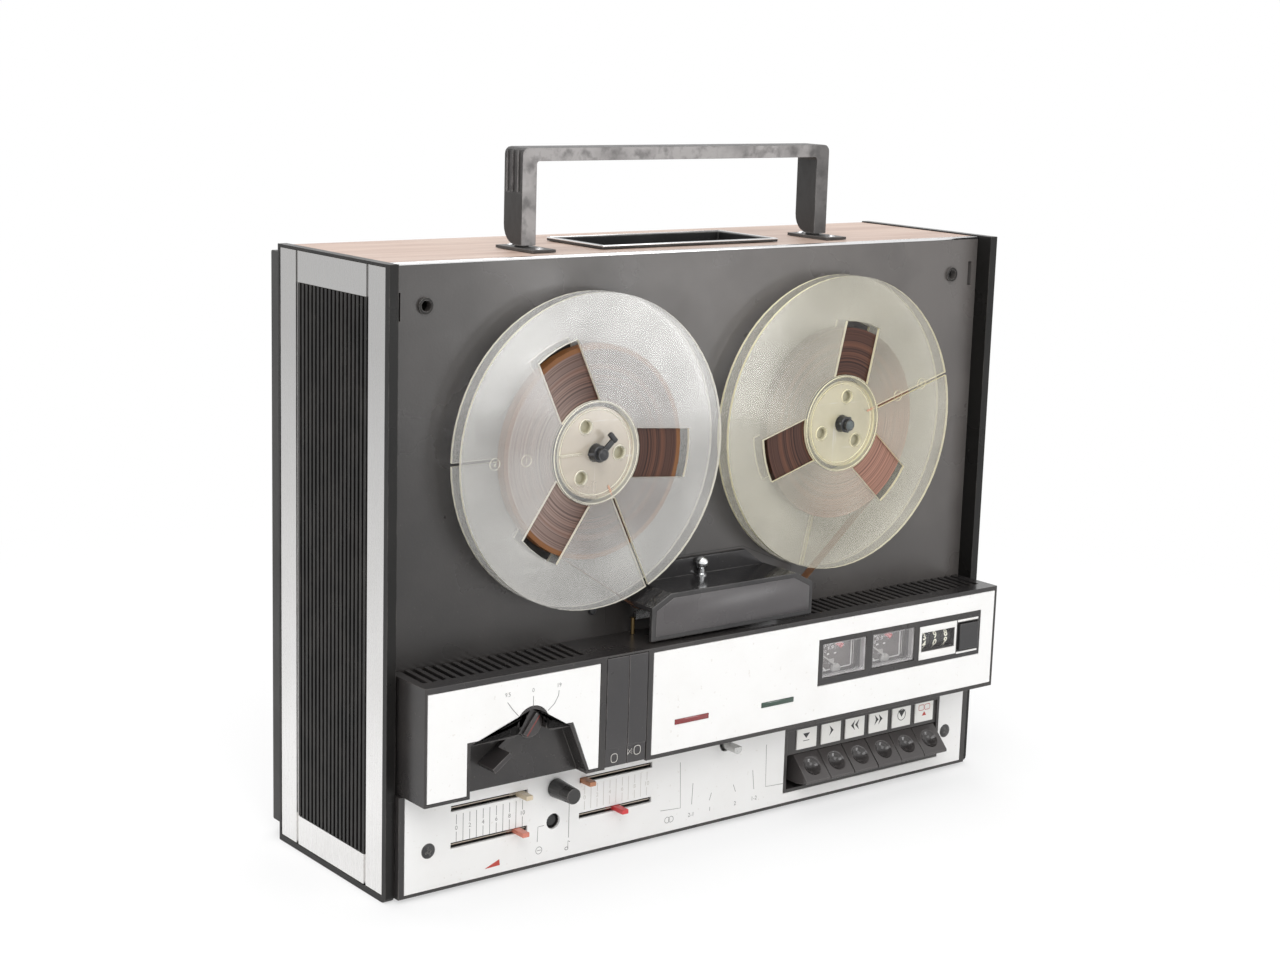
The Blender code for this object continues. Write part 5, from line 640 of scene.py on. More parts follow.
for side, (body, edge) in reel_looks.items():
    low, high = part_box(side + "_reel")
    axis = Vector(((low[0] + high[0]) / 2, low[1], (low[2] + high[2]) / 2))
    spool = side + "_spool"
    milk = milky(side + "_reel_milk", body, edge, 0.26)
    rim = milky(side + "_reel_rim", edge, edge, 0.3)
    hub_milk = milky(side + "_hub_milk", hub_looks[side], edge, 0.45)
    dress(milk, side + "_reel")
    dress(wound_tape(side + "_wound_tape", (axis.x, axis.z), *tape_sides[side]), side + "_tape_pack")
    dress(glued_black, side + "_turntable")
    hub = [turned("hub_lip", axis, [(28.1, 0.0), (28.3, -0.35), (28.9, -0.35), (29.1, 0.05), (28.1, 0.05),
                                    (28.1, 0.0)], 72),
           turned("hub_step", axis, [(23.6, 1.3), (23.8, 0.9), (24.3, 0.9), (24.5, 1.3), (23.6, 1.3)], 64)]
    cups, holes = [], [(0, 0, 5.3)]
    for number in range(3):
        angle = reel_turns[side] + 120 * number
        lug = axis + Vector((math.cos(math.radians(angle)), 0, math.sin(math.radians(angle)))) * lug_distance * MM
        holes.append((angle, lug_distance, lug_radius))
        hub.append(turned("lug_collar", lug, [(lug_radius, 1.55), (lug_radius, 0.8), (3.95, 0.6), (4.3, 0.6),
                                              (4.5, 0.9), (4.5, 1.55), (lug_radius, 1.55)], 28))
        cups.append(turned("lug_cup", lug, [(0.0, 4.6), (3.6, 4.6), (3.6, 1.8), (3.2, 1.8), (3.2, 4.0),
                                            (0.0, 4.0)], 28))
    if side == "left":
        rib = block("hub_rib", near(axis, 9.5, 0.5, -0.7), near(axis, 26.0, 1.5, 0.7), 0.2)
        hub.append(turn_piece(rib, axis, 180))
    finish_piece(joined(side + "_reel_hub", hub), rim, spool)
    finish_piece(pierced_disc(side + "_hub_floor", axis, 25.8, holes, axis.y + 1.4 * MM, 0.25), hub_milk, spool)
    finish_piece(joined(side + "_lug_cups", cups), cup_cream, spool)
    tail = block(side + "_tape_tail", near(axis, 21.5, 0.9, -0.6), near(axis, 27.8, 1.2, 0.6), 0.1)
    finish_piece(turn_piece(tail, axis, slit_turns[side]), tape_pink, spool)
    marks = []
    for number, distance in (("1", 47.0), ("2", 67.5)):
        place = near(axis, -distance, 0, 0)
        ring = [(3.0, 0.02), (3.0, -0.15), (3.4, -0.15), (3.4, 0.02), (3.0, 0.02)]
        marks.append(turned("mark_ring", place, ring, 32))
        marks.append(numeral(number, place, 3.2, axis.y - 0.05 * MM))
    mark = turn_piece(joined(side + "_reel_marks", marks), axis, 0 if side == "left" else 197)
    finish_piece(mark, rim, spool)

# Spindle caps.
# Each turntable's cap has a rounded nose, black on the left and grey on the right.
# The left one also carries a bent locking finger and a pointer.
nose_looks = {"left": glued_black, "right": moulding("nose_grey", (0.085, 0.1, 0.1), (0.2, 0.22, 0.22), 0.22, 0.05)}
for side in reel_looks:
    low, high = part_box(side + "_reel")
    nose_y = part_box(side + "_turntable")[0][1]
    nose = Vector(((low[0] + high[0]) / 2, nose_y, (low[2] + high[2]) / 2))
    dome = [turned("nose", nose, [(0.0, -0.9), (1.5, -0.8), (2.6, -0.3), (3.3, 0.6), (3.3, 1.2), (0.0, 1.2)], 32)]
    if side == "left":
        arm = block("finger", near(nose, 1.5, 1.4, -1.7), near(nose, 12.5, 3.4, 1.7), 0.8)
        tip = block("finger_tip", near(nose, 9.8, 0.6, -1.6), near(nose, 12.8, 3.4, 5.0), 0.8)
        pointer = block("pointer", near(nose, -9.0, 2.0, -0.8), near(nose, -2.0, 3.4, 0.8), 0.5)
        dome += [turn_piece(arm, nose, 42), turn_piece(tip, nose, 42), turn_piece(pointer, nose, -4)]
    else:
        for angle in (170, 290, 50):
            tooth = block("tooth", near(nose, 2.0, 3.0, -0.8), near(nose, 5.4, 4.4, 0.8), 0.5)
            dome.append(turn_piece(tooth, nose, angle))
    finish_piece(joined(side + "_spindle_nose", dome), nose_looks[side], side + "_spool")

# Tape path.
# Brown tape runs from each winding under the head cover, edge on to the deck; a brass post and a stud stand by it.


def ribbon(name, points, low_y, high_y, thick=0.06):
    """Tape standing on edge: a thin strip through (x, z) points, with its width along Y."""
    corners, faces = [], []
    for index, (x, z) in enumerate(points):
        before = points[max(index - 1, 0)]
        after = points[min(index + 1, len(points) - 1)]
        along = Vector((after[0] - before[0], after[1] - before[1])).normalized()
        across = Vector((-along.y, along.x)) * thick / 2
        for shift in (1, -1):
            for y in (low_y, high_y):
                corners.append(spot(x + across.x * shift, y, z + across.y * shift))
    for index in range(len(points) - 1):
        a, b = index * 4, index * 4 + 4
        faces += [(a, a + 1, b + 1, b), (a + 3, a + 2, b + 2, b + 3), (a + 2, a, b, b + 2),
                  (a + 1, a + 3, b + 3, b + 1)]
    faces += [(0, 2, 3, 1), (len(corners) - 4, len(corners) - 3, len(corners) - 1, len(corners) - 2)]
    piece = new_mesh(name, corners, [], faces)
    edit_all()
    bpy.ops.mesh.normals_make_consistent(inside=False)
    bpy.ops.object.mode_set(mode="OBJECT")
    return piece


tape_brown = moulding("tape_brown", (0.2, 0.095, 0.05), (0.28, 0.15, 0.09), 0.3, 0.05)
run_low, run_high = -3.3, 2.9
left_centre, right_centre = Vector((-91.5, 237.0)), Vector((92.0, 238.0))
left_start = left_centre + Vector((-0.72, -0.694)) * pack_radii["left"]
right_start = right_centre + Vector((0.74, -0.672)) * pack_radii["right"]
left_run = [tuple(left_start), (-64.1, 148.3), (-57.5, 143.0), (-44.0, 139.2), (-30.0, 138.9)]
right_run = [(24.4, 138.9), (40.0, 138.9), (56.5, 139.2), (67.5, 141.5), tuple(right_start)]
span = ribbon("tape_span", left_run + right_run, run_low, run_high)
finish_piece(span, tape_brown, "case")
brass = brushed_metal("brass", (0.34, 0.24, 0.11), (0.12, 0.08, 0.04), 0.3, "Z", 1.0, 1.0)
post = turned("tape_post", spot(-55.2, 4.5, 126.1), [(0.0, 0.0), (1.2, 0.0), (1.2, 9.2), (1.7, 9.4), (1.7, 10.0),
                                                    (0.0, 10.1)], 24, (0, 0, 1))
finish_piece(post, brass, "case")
stud = turned("deck_stud", spot(-80, 9.4, 141.8), [(0.0, -0.3), (1.6, -0.2), (2.2, 0.3), (2.2, 1.4), (0.0, 1.4)], 24)
finish_piece(stud, glued_black, "case")

# Head cover with its guard, and the chrome ball-headed screw that holds it.
# A glossy black moulding; a raised, rougher panel with a fine border covers its front, its lighter grey partly
# painted light falling on the front.
cover_gloss = moulding("cover_gloss", (0.018, 0.017, 0.018), (0.2, 0.19, 0.18), 0.14, 0.03, 900.0, 0.7, 1.0, 0.0009)
# The front panel's lighter grey is partly painted light on the front face.
cover_front_painted_light = moulding("cover_front_painted_light", (0.062, 0.057, 0.059), (0.2, 0.19, 0.18), 0.3, 0.1, 900.0, 0.6, 0.9)
dress(cover_gloss, "head_cover")
soften(0.5, "head_cover")


def plate(name, outline, y, thick, width=0.15):
    """A flat plate on a front face, from an (x, z) outline in case millimetres."""
    piece = new_mesh(name, [spot(x, y, z) for x, z in outline], [], [tuple(range(len(outline)))])
    edit_all()
    bpy.ops.mesh.extrude_region_move(TRANSFORM_OT_translate={"value": (0, -thick * MM, 0)})
    bpy.ops.mesh.select_all(action="SELECT")
    bpy.ops.mesh.normals_make_consistent(inside=False)
    if width:
        bpy.ops.mesh.bevel(offset=width * MM, segments=2, affect="EDGES")
    bpy.ops.object.mode_set(mode="OBJECT")
    return piece


def cut_corner(half, low, high, across, down):
    """An outline with its two upper corners cut."""
    return [(-half, low), (half, low), (half, high - down), (half - across, high), (-half + across, high),
            (-half, high - down)]


facing = plate("head_cover_facing", cut_corner(57.6, 130.4, 151.7, 12.4, 6.4), -19.9, 0.4)
finish_piece(facing, cover_front_painted_light, "case")
chrome = brushed_metal("chrome", (0.86, 0.87, 0.88), (0.6, 0.6, 0.6), 0.07, "Z", 0.1, 0.1)
neck = spot(-4.3, 6, 154.4)
ball_profile = [(0.0, 0.0), (3.2, 0.0), (3.2, 0.8), (1.9, 1.1), (1.9, 3.7)]
for step in range(2, 19):
    angle = math.radians(-90 + step * 10)
    ball_profile.append((max(3.9 * math.cos(angle), 0.0), 7.4 + 3.9 * math.sin(angle)))
finish_piece(turned("ball_screw", neck, ball_profile, 48, (0, 0, 1)), chrome, "case")

# Control housing and its two white fascias.
# The housing is one black moulding, rubbed to grey-beige on its corners; the fascias are thin enamelled plates.
housing_black = moulding("housing_black", (0.024, 0.022, 0.022), (0.17, 0.15, 0.13), 0.28, 0.12, 900.0, 0.45, 0.8,
                         0.0008)
dress(housing_black, "control_housing")
soften(0.3, "control_housing")


def enamel(name, colour, marks):
    """Smooth pale paint on metal, faintly marked by handling."""
    surface, tree = new_surface(name)
    specks = use_group(tree, dust, Amount=0.55, Smudge_size=26.0, Speck_size=420.0)
    rubbed = use_group(tree, worn_edges, Amount=0.5, Width=0.0004)
    texture = use_group(tree, grain, Size=240.0)
    tone = mix_colours(tree, texture["Drift"], scaled(colour, 0.97), colour)
    marked = mix_colours(tree, specks["Mask"], tone, marks)
    paint(tree, Base_Color=mix_colours(tree, rubbed["Mask"], marked, (0.35, 0.34, 0.32)),
          Roughness=remap(tree, texture["Drift"], 0.3, 0.7, 0.3, 0.42))
    bumped(tree, texture["Height"], 0.03, 0.0001)
    return surface


fascia_white = enamel("fascia_white", (0.79, 0.785, 0.775), (0.6, 0.57, 0.53))
dress(fascia_white, "left_fascia", "right_fascia", "lower_fascia")
soften(0.2, "left_fascia", "lower_fascia")


def ink(name, colour):
    """Screen-printed ink."""
    surface, tree = new_surface(name)
    drift = use_group(tree, grain, Size=700.0)["Drift"]
    paint(tree, Base_Color=mix_colours(tree, drift, scaled(colour, 0.8), scaled(colour, 1.25)), Roughness=0.5)
    return surface


grey_ink = ink("grey_ink", (0.2, 0.195, 0.19))
pale_ink = ink("pale_ink", (0.5, 0.48, 0.45))
red_ink = ink("red_ink", (0.42, 0.05, 0.035))
black_ink = ink("black_ink", (0.02, 0.02, 0.02))


def print_line(points, y, width=0.42):
    """A printed line through (x, z) points on a front face."""
    face = spot(0, y, 0).y
    return stroke("print", [spot(x, y, z) for x, z in points], width, face)


def print_text(text, x, z, height, y):
    """Printed characters centred on a place of a front face."""
    place = spot(x, y, z)
    return numeral(text, place, height, place.y)


def ring_points(x, z, width, height, steps=28, power=1.0):
    """A closed oval, squared off where power is below one."""
    points = []
    for step in range(steps + 1):
        angle = math.tau * step / steps
        c, s = math.cos(angle), math.sin(angle)
        points.append((x + math.copysign(abs(c) ** power, c) * width / 2,
                       z + math.copysign(abs(s) ** power, s) * height / 2))
    return points


left_print_y = front_of("left_fascia")
speed_marks = [
    print_line([(-154.5, 101.6), (-158.6, 106.1), (-162.0, 110.6)], left_print_y, 0.5),
    print_line([(-145.0, 104.9), (-145.1, 111.5)], left_print_y, 0.5),
    print_line([(-135.3, 101.6), (-131.0, 104.9), (-128.4, 109.2), (-128.1, 112.0)], left_print_y, 0.5),
    print_text("9.5", -161.8, 114.7, 2.3, left_print_y), print_text("0", -145.2, 114.7, 2.3, left_print_y),
    print_text("19", -128.1, 114.9, 2.3, left_print_y)]
finish_piece(joined("speed_marks", speed_marks), grey_ink, "case")

# Speed selector and the two tall keys.
# A black hub with a red stripe turns a long lever; the keys between the fascias carry pale line symbols.
selector_black = moulding("selector_black", (0.028, 0.025, 0.025), (0.22, 0.2, 0.19), 0.36, 0.12, wear=0.9)
dress(selector_black, "speed_selector")
soften(0.35, "speed_selector")
dark_red = moulding("dark_red", (0.2, 0.02, 0.016), (0.3, 0.1, 0.08), 0.35, 0.05)
hub_y = -23.0
ridge = plate("selector_ridge", [(-141.9, 101.4), (-139.7, 99.7), (-148.1, 88.6), (-150.3, 90.3)], hub_y, 1.5, 0.35)
finish_piece(ridge, selector_black, "speed_lever")
stripe = plate("selector_stripe", [(-139.9, 99.4), (-138.9, 98.7), (-146.9, 88.2), (-147.8, 88.9)], hub_y, 0.7, 0.1)
finish_piece(stripe, dark_red, "speed_lever")
tall_black = moulding("tall_key_black", (0.03, 0.028, 0.029), (0.24, 0.22, 0.21), 0.33, 0.12, wear=1.0)
dress(tall_black, "tall_key_left", "tall_key_right")
soften(0.6, "tall_key_left", "tall_key_right")
key_y = front_of("tall_key_left")
left_mark = print_line(ring_points(-89.2, 66.2, 4.4, 5.0, 28, 0.7), key_y, 0.45)
finish_piece(left_mark, pale_ink, "left_tall_key")
left_mark.name = "left_tall_key_mark"
right_marks = [print_line([(-79.8, 66.6), (-76.8, 69.8), (-76.8, 66.6), (-79.8, 69.8), (-79.8, 66.6)], key_y, 0.4),
               print_line(ring_points(-73.0, 68.2, 4.6, 5.2, 28, 0.75), key_y, 0.45)]
finish_piece(joined("right_tall_key_mark", right_marks), pale_ink, "right_tall_key")

# Level meters, tape counter and reset button.
# One grey carrier holds the two meter movements, behind clear boxes, and the three black number drums.
unit_black = moulding("unit_black", (0.022, 0.021, 0.021), (0.1, 0.09, 0.09), 0.38, 0.1)
dress(unit_black, "instrument_unit")
dial_grey = moulding("dial_grey", (0.12, 0.105, 0.102), (0.2, 0.18, 0.18), 0.5, 0.05, dirt=0.2)
zone_red = ink("zone_red", (0.62, 0.12, 0.13))
needle_pale = moulding("needle_pale", (0.42, 0.4, 0.38), (0.5, 0.5, 0.5), 0.3, 0.02)
dress(needle_pale, "left_meter_needle", "right_meter_needle")
white_ink = ink("white_ink", (0.85, 0.83, 0.8))
hub_grey = moulding("meter_hub_grey", (0.4, 0.39, 0.38), (0.5, 0.5, 0.5), 0.4, 0.1)


def clear_plastic(name, alpha):
    """Clear plastic: almost nothing of its own, with reflections, faint dust, and edges painted paler and denser as a
    painted highlight.
    """
    surface, tree = new_surface(name)
    specks = use_group(tree, dust, Amount=0.6, Smudge_size=60.0)
    rubbed = use_group(tree, worn_edges, Amount=1.0, Width=0.0005)
    dusty = remap(tree, specks["Mask"], 0, 1, alpha, alpha + 0.12)
    # Edges are painted paler and more opaque, in patches: a painted highlight for the light caught in them.
    paint(tree, Base_Color=mix_colours(tree, rubbed["Mask"], (0.62, 0.6, 0.6), (0.88, 0.86, 0.86)),
          Alpha=maths(tree, "MULTIPLY_ADD", rubbed["Mask"], 0.5, dusty, clamp=True),
          Roughness=0.08, Coat_Weight=1.0, Coat_Roughness=0.04)
    return surface


def on_arc(x, z, angle, radius):
    """The (x, z) place at an angle clockwise from upright and a distance from another."""
    return (x + radius * math.sin(math.radians(angle)), z + radius * math.cos(math.radians(angle)))


clear = clear_plastic("clear_window", 0.13)
# The boxes' side walls take a denser copy, so they show as pale lines: painted highlights on the boxes' edges.
clear_edge = clear_plastic("clear_edge", 0.5)
clearer = clear_plastic("clear_counter_window", 0.03)
unit_front = front_of("instrument_unit")
for side, low_x, high_x in (("left", 66.1, 101.5), ("right", 107.0, 142.4)):
    middle = (low_x + high_x) / 2
    floor_y = unit_front + 4.7
    dial = plate(side + "_meter_dial", [(low_x + 0.6, 88.4), (high_x - 0.6, 88.4), (high_x - 0.6, 108.6),
                                        (low_x + 0.6, 108.6)], floor_y, 0.25, 0.05)
    finish_piece(dial, dial_grey, "case")
    print_y = floor_y - 0.25
    pivot_x, pivot_z = low_x + 14.8, 94.6
    scale = []
    for angle in range(-76, 8, 7):
        tick = [on_arc(pivot_x, pivot_z, angle, radius) for radius in (10.9, 12.9)]
        scale.append(print_line(tick, print_y, 0.75))
    for text, angle in (("20", -66), ("10", -42), ("5", -18), ("0", 6)):
        scale.append(print_text(text, *on_arc(pivot_x, pivot_z, angle, 8.7), 2.0, print_y))
    # The lines at the right and along the bottom are painted highlights standing in for the clear box's bright edges.
    for points, width in (([(pivot_x - 3.8, pivot_z + 4.6), (pivot_x - 2.0, pivot_z + 4.9)], 1.1),
                          ([(pivot_x + 2.0, pivot_z + 4.6), (pivot_x + 3.8, pivot_z + 4.9)], 1.1),
                          ([(low_x + 4.4, 94.8), (low_x + 10.6, 89.0)], 1.1),
                          ([(high_x - 4.4, 90.2), (high_x - 4.4, 107.9)], 1.1),
                          ([(high_x - 2.6, 90.2), (high_x - 2.6, 107.9)], 0.4),
                          ([(low_x + 4.6, 89.2), (high_x - 4.4, 89.9)], 0.8)):
        scale.append(print_line(points, print_y, width))
    finish_piece(joined(side + "_meter_scale_and_highlights", scale), white_ink, "case")
    pad = plate(side + "_meter_pad", [(pivot_x - 2.3, 93.0), (pivot_x + 2.3, 93.0), (pivot_x + 2.0, 96.0),
                                      (pivot_x - 2.0, 96.0)], print_y, 0.1, 0)
    finish_piece(pad, hub_grey, "case")
    red_zone = print_line([on_arc(pivot_x, pivot_z, angle, 11.8) for angle in range(16, 47, 5)], print_y, 3.6)
    red_zone.name = side + "_meter_red_zone"
    finish_piece(red_zone, zone_red, "case")
    hub = turned(side + "_meter_hub", spot(middle, floor_y - 1.4, 89.6),
                 [(0.0, -0.9), (2.6, -0.8), (3.6, -0.2), (3.6, 1.1), (0.0, 1.1)], 32)
    finish_piece(hub, hub_grey, "case")
    window = block(side + "_meter_window", spot(low_x + 0.35, -25.9, 88.15), spot(high_x - 0.35, -25.1, 108.85), 0.25)
    finish_piece(window, clear, "case")
    sides = [block("window_side", spot(x - 0.35, -25.1, 88.2), spot(x + 0.35, unit_front, 108.8), 0.12)
             for x in (low_x + 0.75, high_x - 0.75)]
    sides += [block("window_side", spot(low_x + 0.5, -25.1, z - 0.35), spot(high_x - 0.5, unit_front, z + 0.35), 0.12)
              for z in (88.6, 108.4)]
    finish_piece(joined(side + "_window_sides", sides), clear_edge, "case")

drum_black = moulding("drum_black", (0.012, 0.012, 0.012), (0.05, 0.05, 0.05), 0.4, 0.03)
drum_white = ink("drum_white", (0.86, 0.81, 0.68))
shown = {"counter_drum_1": ("hundreds_drum", 3), "counter_drum_2": ("tens_drum", 9),
         "counter_drum_3": ("units_drum", 8)}
dress(drum_black, *shown)
for node, (body, digit) in shown.items():
    low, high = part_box(node)
    axis = Vector([(a + b) / 2 for a, b in zip(low, high)])
    radius = (high[2] - low[2]) / 2
    digits = []
    for number in range(10):
        figure = numeral(str(number), Vector((axis.x, 0, axis.z)), 4.4, axis.y - radius, 0.16)
        edit_all()
        bpy.ops.mesh.subdivide(number_cuts=1)
        bpy.ops.object.mode_set(mode="OBJECT")
        for corner in figure.data.vertices:
            away = corner.co.y - (axis.y - radius)
            around = (corner.co.z - axis.z) / radius
            reach = radius + 0.02 * MM - away
            corner.co.y = axis.y - reach * math.cos(around)
            corner.co.z = axis.z + reach * math.sin(around)
        step = math.radians((number - digit) * 36 - 18)
        figure.data.transform(Matrix.Translation(axis) @ Matrix.Rotation(step, 4, "X") @ Matrix.Translation(-axis))
        digits.append(figure)
    finish_piece(joined(node + "_digits", digits), drum_white, body)

bezel_white = enamel("bezel_white", (0.78, 0.77, 0.75), (0.5, 0.48, 0.45))


def front_bars(name, *spans):
    """Flat white bars on the bezel, each from its least and greatest x and z."""
    bars = [block("bar", spot(low_x, -26.5, low_z), spot(high_x, -25.8, high_z), 0.2)
            for low_x, high_x, low_z, high_z in spans]
    return finish_piece(joined(name, bars), bezel_white, "case")


front_bars("counter_surround", (146.4, 178.6, 104.3, 108.4), (146.4, 178.6, 87.0, 92.0), (146.4, 148.1, 91.7, 104.6),
           (177.0, 178.6, 91.7, 104.6))
finish_piece(block("counter_window", spot(148.0, -26.2, 91.9), spot(177.1, -25.8, 104.4), 0.12), clearer, "case")
reset_black = moulding("reset_black", (0.025, 0.024, 0.025), (0.18, 0.17, 0.16), 0.3, 0.1)
dress(reset_black, "reset_button")
soften(0.6, "reset_button")
front_bars("reset_strips", (179.4, 197.6, 107.0, 108.4), (179.4, 197.6, 86.4, 87.6))

# Lamp bars under the meters.
# Two translucent coloured bars let into the fascia.


def lamp(name, colour):
    """Coloured translucent plastic, lit faintly from behind."""
    surface, tree = new_surface(name)
    tone = mix_colours(tree, use_group(tree, grain, Size=600.0)["Drift"], scaled(colour, 0.7), colour)
    paint(tree, Base_Color=tone, Emission_Color=tone, Emission_Strength=0.12, Roughness=0.22, Coat_Weight=0.6)
    return surface


lamp_red = lamp("lamp_red", (0.2, 0.01, 0.012))
lamp_green = lamp("lamp_green", (0.014, 0.045, 0.028))
for name, surface, low_x, high_x, z in (("red_lamp", lamp_red, -46.4, -21.3, 79.7),
                                        ("green_lamp", lamp_green, 18.7, 44.0, 78.8)):
    bar = block(name, spot(low_x + 0.1, -26.15, z - 1.55), spot(high_x - 0.1, -24.9, z + 1.55), 0.35)
    finish_piece(bar, surface, "case")

# Lower panel: its black frame, white fascia and printed scales.
# The fascia is enamelled sheet between the frame's edges; the scales stand between the slider slots.
frame_black = moulding("frame_black", (0.024, 0.022, 0.022), (0.2, 0.18, 0.16), 0.32, 0.14, 900.0, 0.7, 0.8, 0.0008)
dress(frame_black, "lower_frame")
soften(0.4, "lower_frame")
lower_y = front_of("lower_fascia")
for side, first_x, pitch, low_z, number_z, surface in (("left", -179.0, 4.38, 28.0, 36.0, grey_ink),
                                                       ("right", -92.3, 4.48, 29.5, 36.7, pale_ink)):
    marks = []
    for step in range(11):
        x = first_x + pitch * step
        if step % 2:
            marks.append(print_line([(x, low_z), (x, 43.8)], lower_y, 0.4))
        else:
            marks.append(print_line([(x, low_z), (x, number_z - 2.1)], lower_y, 0.4))
            marks.append(print_line([(x, number_z + 2.1), (x, 43.8)], lower_y, 0.4))
            marks.append(print_text(str(step), x, number_z, 2.5, lower_y))
    finish_piece(joined(side + "_slider_scale", marks), surface, "case")
wedge = plate("level_wedge", [(-160.1, 8.1), (-149.9, 8.4), (-150.3, 11.9)], lower_y, 0.08, 0)
finish_piece(wedge, red_ink, "case")
leaders = [print_line(points, lower_y) for points in (
    [(-120.2, 25.6), (-124.4, 25.5), (-124.7, 16.7)], [(-103.0, 35.2), (-103.0, 14.9)],
    [(-22.9, 45.0), (-21.7, 16.6), (-36.7, 17.7)], [(-12.7, 30.4), (-13.2, 17.2)], [(1.8, 21.6), (0.4, 17.1)],
    [(18.7, 23.5), (20.6, 18.7)], [(33.7, 29.8), (35.1, 17.5)], [(43.9, 44.1), (44.5, 17.3), (58.5, 16.6)])]
for points, width in ((ring_points(-123.5, 11.4, 4.2, 4.2), 0.4), ([(-125.0, 11.4), (-122.0, 11.4)], 0.4),
                      ([(-103.3, 8.2), (-103.3, 13.0), (-101.9, 12.2)], 0.45),
                      (ring_points(-104.3, 8.6, 2.2, 1.7), 0.5), (ring_points(-31.5, 11.0, 3.6, 3.6), 0.4),
                      (ring_points(-28.6, 11.0, 3.6, 3.6), 0.4)):
    leaders.append(print_line(points, lower_y, width))
for text, x, z in (("2-1", -13.4, 10.8), ("1", 0.9, 11.5), ("2", 20.5, 11.2), ("1-2", 35.5, 11.6)):
    leaders.append(print_text(text, x, z, 2.6, lower_y))
finish_piece(joined("control_leaders", leaders), grey_ink, "case")

# Slider knobs, tone knob and the two bare shafts.
# Each knob has a softly crowned face and rides its own slot; the bare shafts have lost their knobs.
panel_cream = moulding("panel_cream", (0.45, 0.38, 0.31), (0.5, 0.45, 0.4), 0.5, 0.1)
knob_looks = {
    "left_upper_slider": ("cream", (0.55, 0.46, 0.33), (0.7, 0.62, 0.5), "cream_knob"),
    "left_lower_slider": ("salmon", (0.6, 0.2, 0.14), (0.75, 0.4, 0.3), "red_knob"),
    "right_upper_slider": ("orange", (0.46, 0.2, 0.1), (0.6, 0.36, 0.24), "orange_knob"),
    "right_lower_slider": ("red", (0.55, 0.035, 0.04), (0.7, 0.25, 0.22), "red_knob")}
for node, (tint, colour, worn, slot) in knob_looks.items():
    dress(moulding(node + "_" + tint, colour, worn, 0.3, 0.06), node)
soften(0.5, *knob_looks)
strips = []
for low_x, high_x in ((-182.2, -132.1), (-95.6, -44.3)):
    for z in (47.5, 26.3):
        strips.append(block("slot_strip", spot(low_x, -1.6, z - 0.3), spot(high_x, -1.2, z + 0.3), 0.1))
finish_piece(joined("slot_strips", strips), panel_cream, "case")
dress(moulding("tone_black", (0.022, 0.021, 0.021), (0.2, 0.19, 0.18), 0.3, 0.08), "tone_knob")
soften(0.3, "tone_knob")
dress(brushed_metal("shaft_steel", (0.55, 0.55, 0.54), (0.3, 0.28, 0.25), 0.3, "Y", 0.4, 0.5), "input_selector_shaft")
dress(moulding("shaft_black", (0.02, 0.02, 0.02), (0.07, 0.07, 0.07), 0.5, 0.1), "level_shaft")

# Piano keys and their six label tiles.
# Dark keys with a glossy dimple each stand in the frame's bay, under white tiles with transport symbols.
key_black = moulding("key_black", (0.062, 0.056, 0.055), (0.16, 0.15, 0.14), 0.16, 0.04, 900.0, 0.8, 0.5, 0.0007)
tree = key_black.node_tree
painted = tree.nodes["Principled BSDF"].inputs["Base Color"].links[0].from_socket
# Where the surface curves in, the dimples are painted near-black: painted shade in the hollows.
dimple_occlusion = tree.nodes.new("ShaderNodeAmbientOcclusion")
dimple_occlusion.samples = 8
dimple_occlusion.only_local = True
dimple_occlusion.inputs["Distance"].default_value = 0.006
unshaded_face = remap(tree, dimple_occlusion.outputs["AO"], 0.8, 0.97)
paint(tree, Base_Color=mix_colours(tree, unshaded_face, (0.004, 0.004, 0.004), painted))
key_names = [f"piano_key_{number}" for number in range(1, 7)]
dress(key_black, *key_names)
soften(0.5, *key_names)
tile_white = enamel("tile_white", (0.8, 0.79, 0.76), (0.62, 0.59, 0.54))
tile_y = -2.5


def triangle(x, z, width, height, points_to):
    """A solid triangle mark whose tip points up or down."""
    way = 1 if points_to == "up" else -1
    half_w, half_h = width / 2, height / 2
    return plate("triangle", [(x, z + way * half_h), (x - way * half_w, z - way * half_h),
                              (x + way * half_w, z - way * half_h)], mark_y, 0.06, 0)


def chevron(x, z, points_to):
    """A solid arrowhead with a notched back."""
    way = 1 if points_to == "right" else -1
    return plate("chevron", [(x + way * 1.8, z), (x - way * 1.6, z + 3.3), (x - way * 0.3, z),
                             (x - way * 1.6, z - 3.3)], mark_y, 0.06, 0)


mark_y = tile_y - 1.0
first_key_x, key_pitch, half_key, z = 67.4, 20.1, 9.2, 42.6
for number in range(6):
    x = first_key_x + key_pitch * number + half_key
    tile = block(f"key_tile_{number + 1}", spot(x - 8.1, tile_y - 1.0, 36.1), spot(x + 8.1, tile_y + 0.1, 49.2), 0.35)
    finish_piece(tile, tile_white, "case")
    if number == 0:
        marks = [triangle(x - 0.6, z + 1.8, 5.6, 3.2, "down"),
                 print_line([(x - 3.1, z - 1.3), (x + 1.9, z - 1.3)], mark_y, 0.45)]
    elif number == 1:
        marks = [chevron(x, z + 1.6, "right")]
    elif number == 2:
        marks = [chevron(x - 1.7, z + 1.6, "left"), chevron(x + 1.7, z + 1.6, "left")]
    elif number == 3:
        marks = [chevron(x - 1.9, z + 1.9, "right"), chevron(x + 1.5, z + 1.9, "right")]
    elif number == 4:
        marks = [triangle(x, z + 2.3, 6.2, 4.4, "down"), print_line(ring_points(x, z + 1.5, 6.8, 7.2), mark_y, 0.5)]
    else:
        marks = [triangle(x, z - 0.9, 3.8, 2.8, "up")]
        for shift in (-2.6, 2.6):
            marks.append(print_line(ring_points(x + shift, z + 3.2, 4.6, 3.6, 20, 0.4), mark_y, 0.4))
    finish_piece(joined(f"key_mark_{number + 1}", marks), red_ink if number == 5 else black_ink, "case")

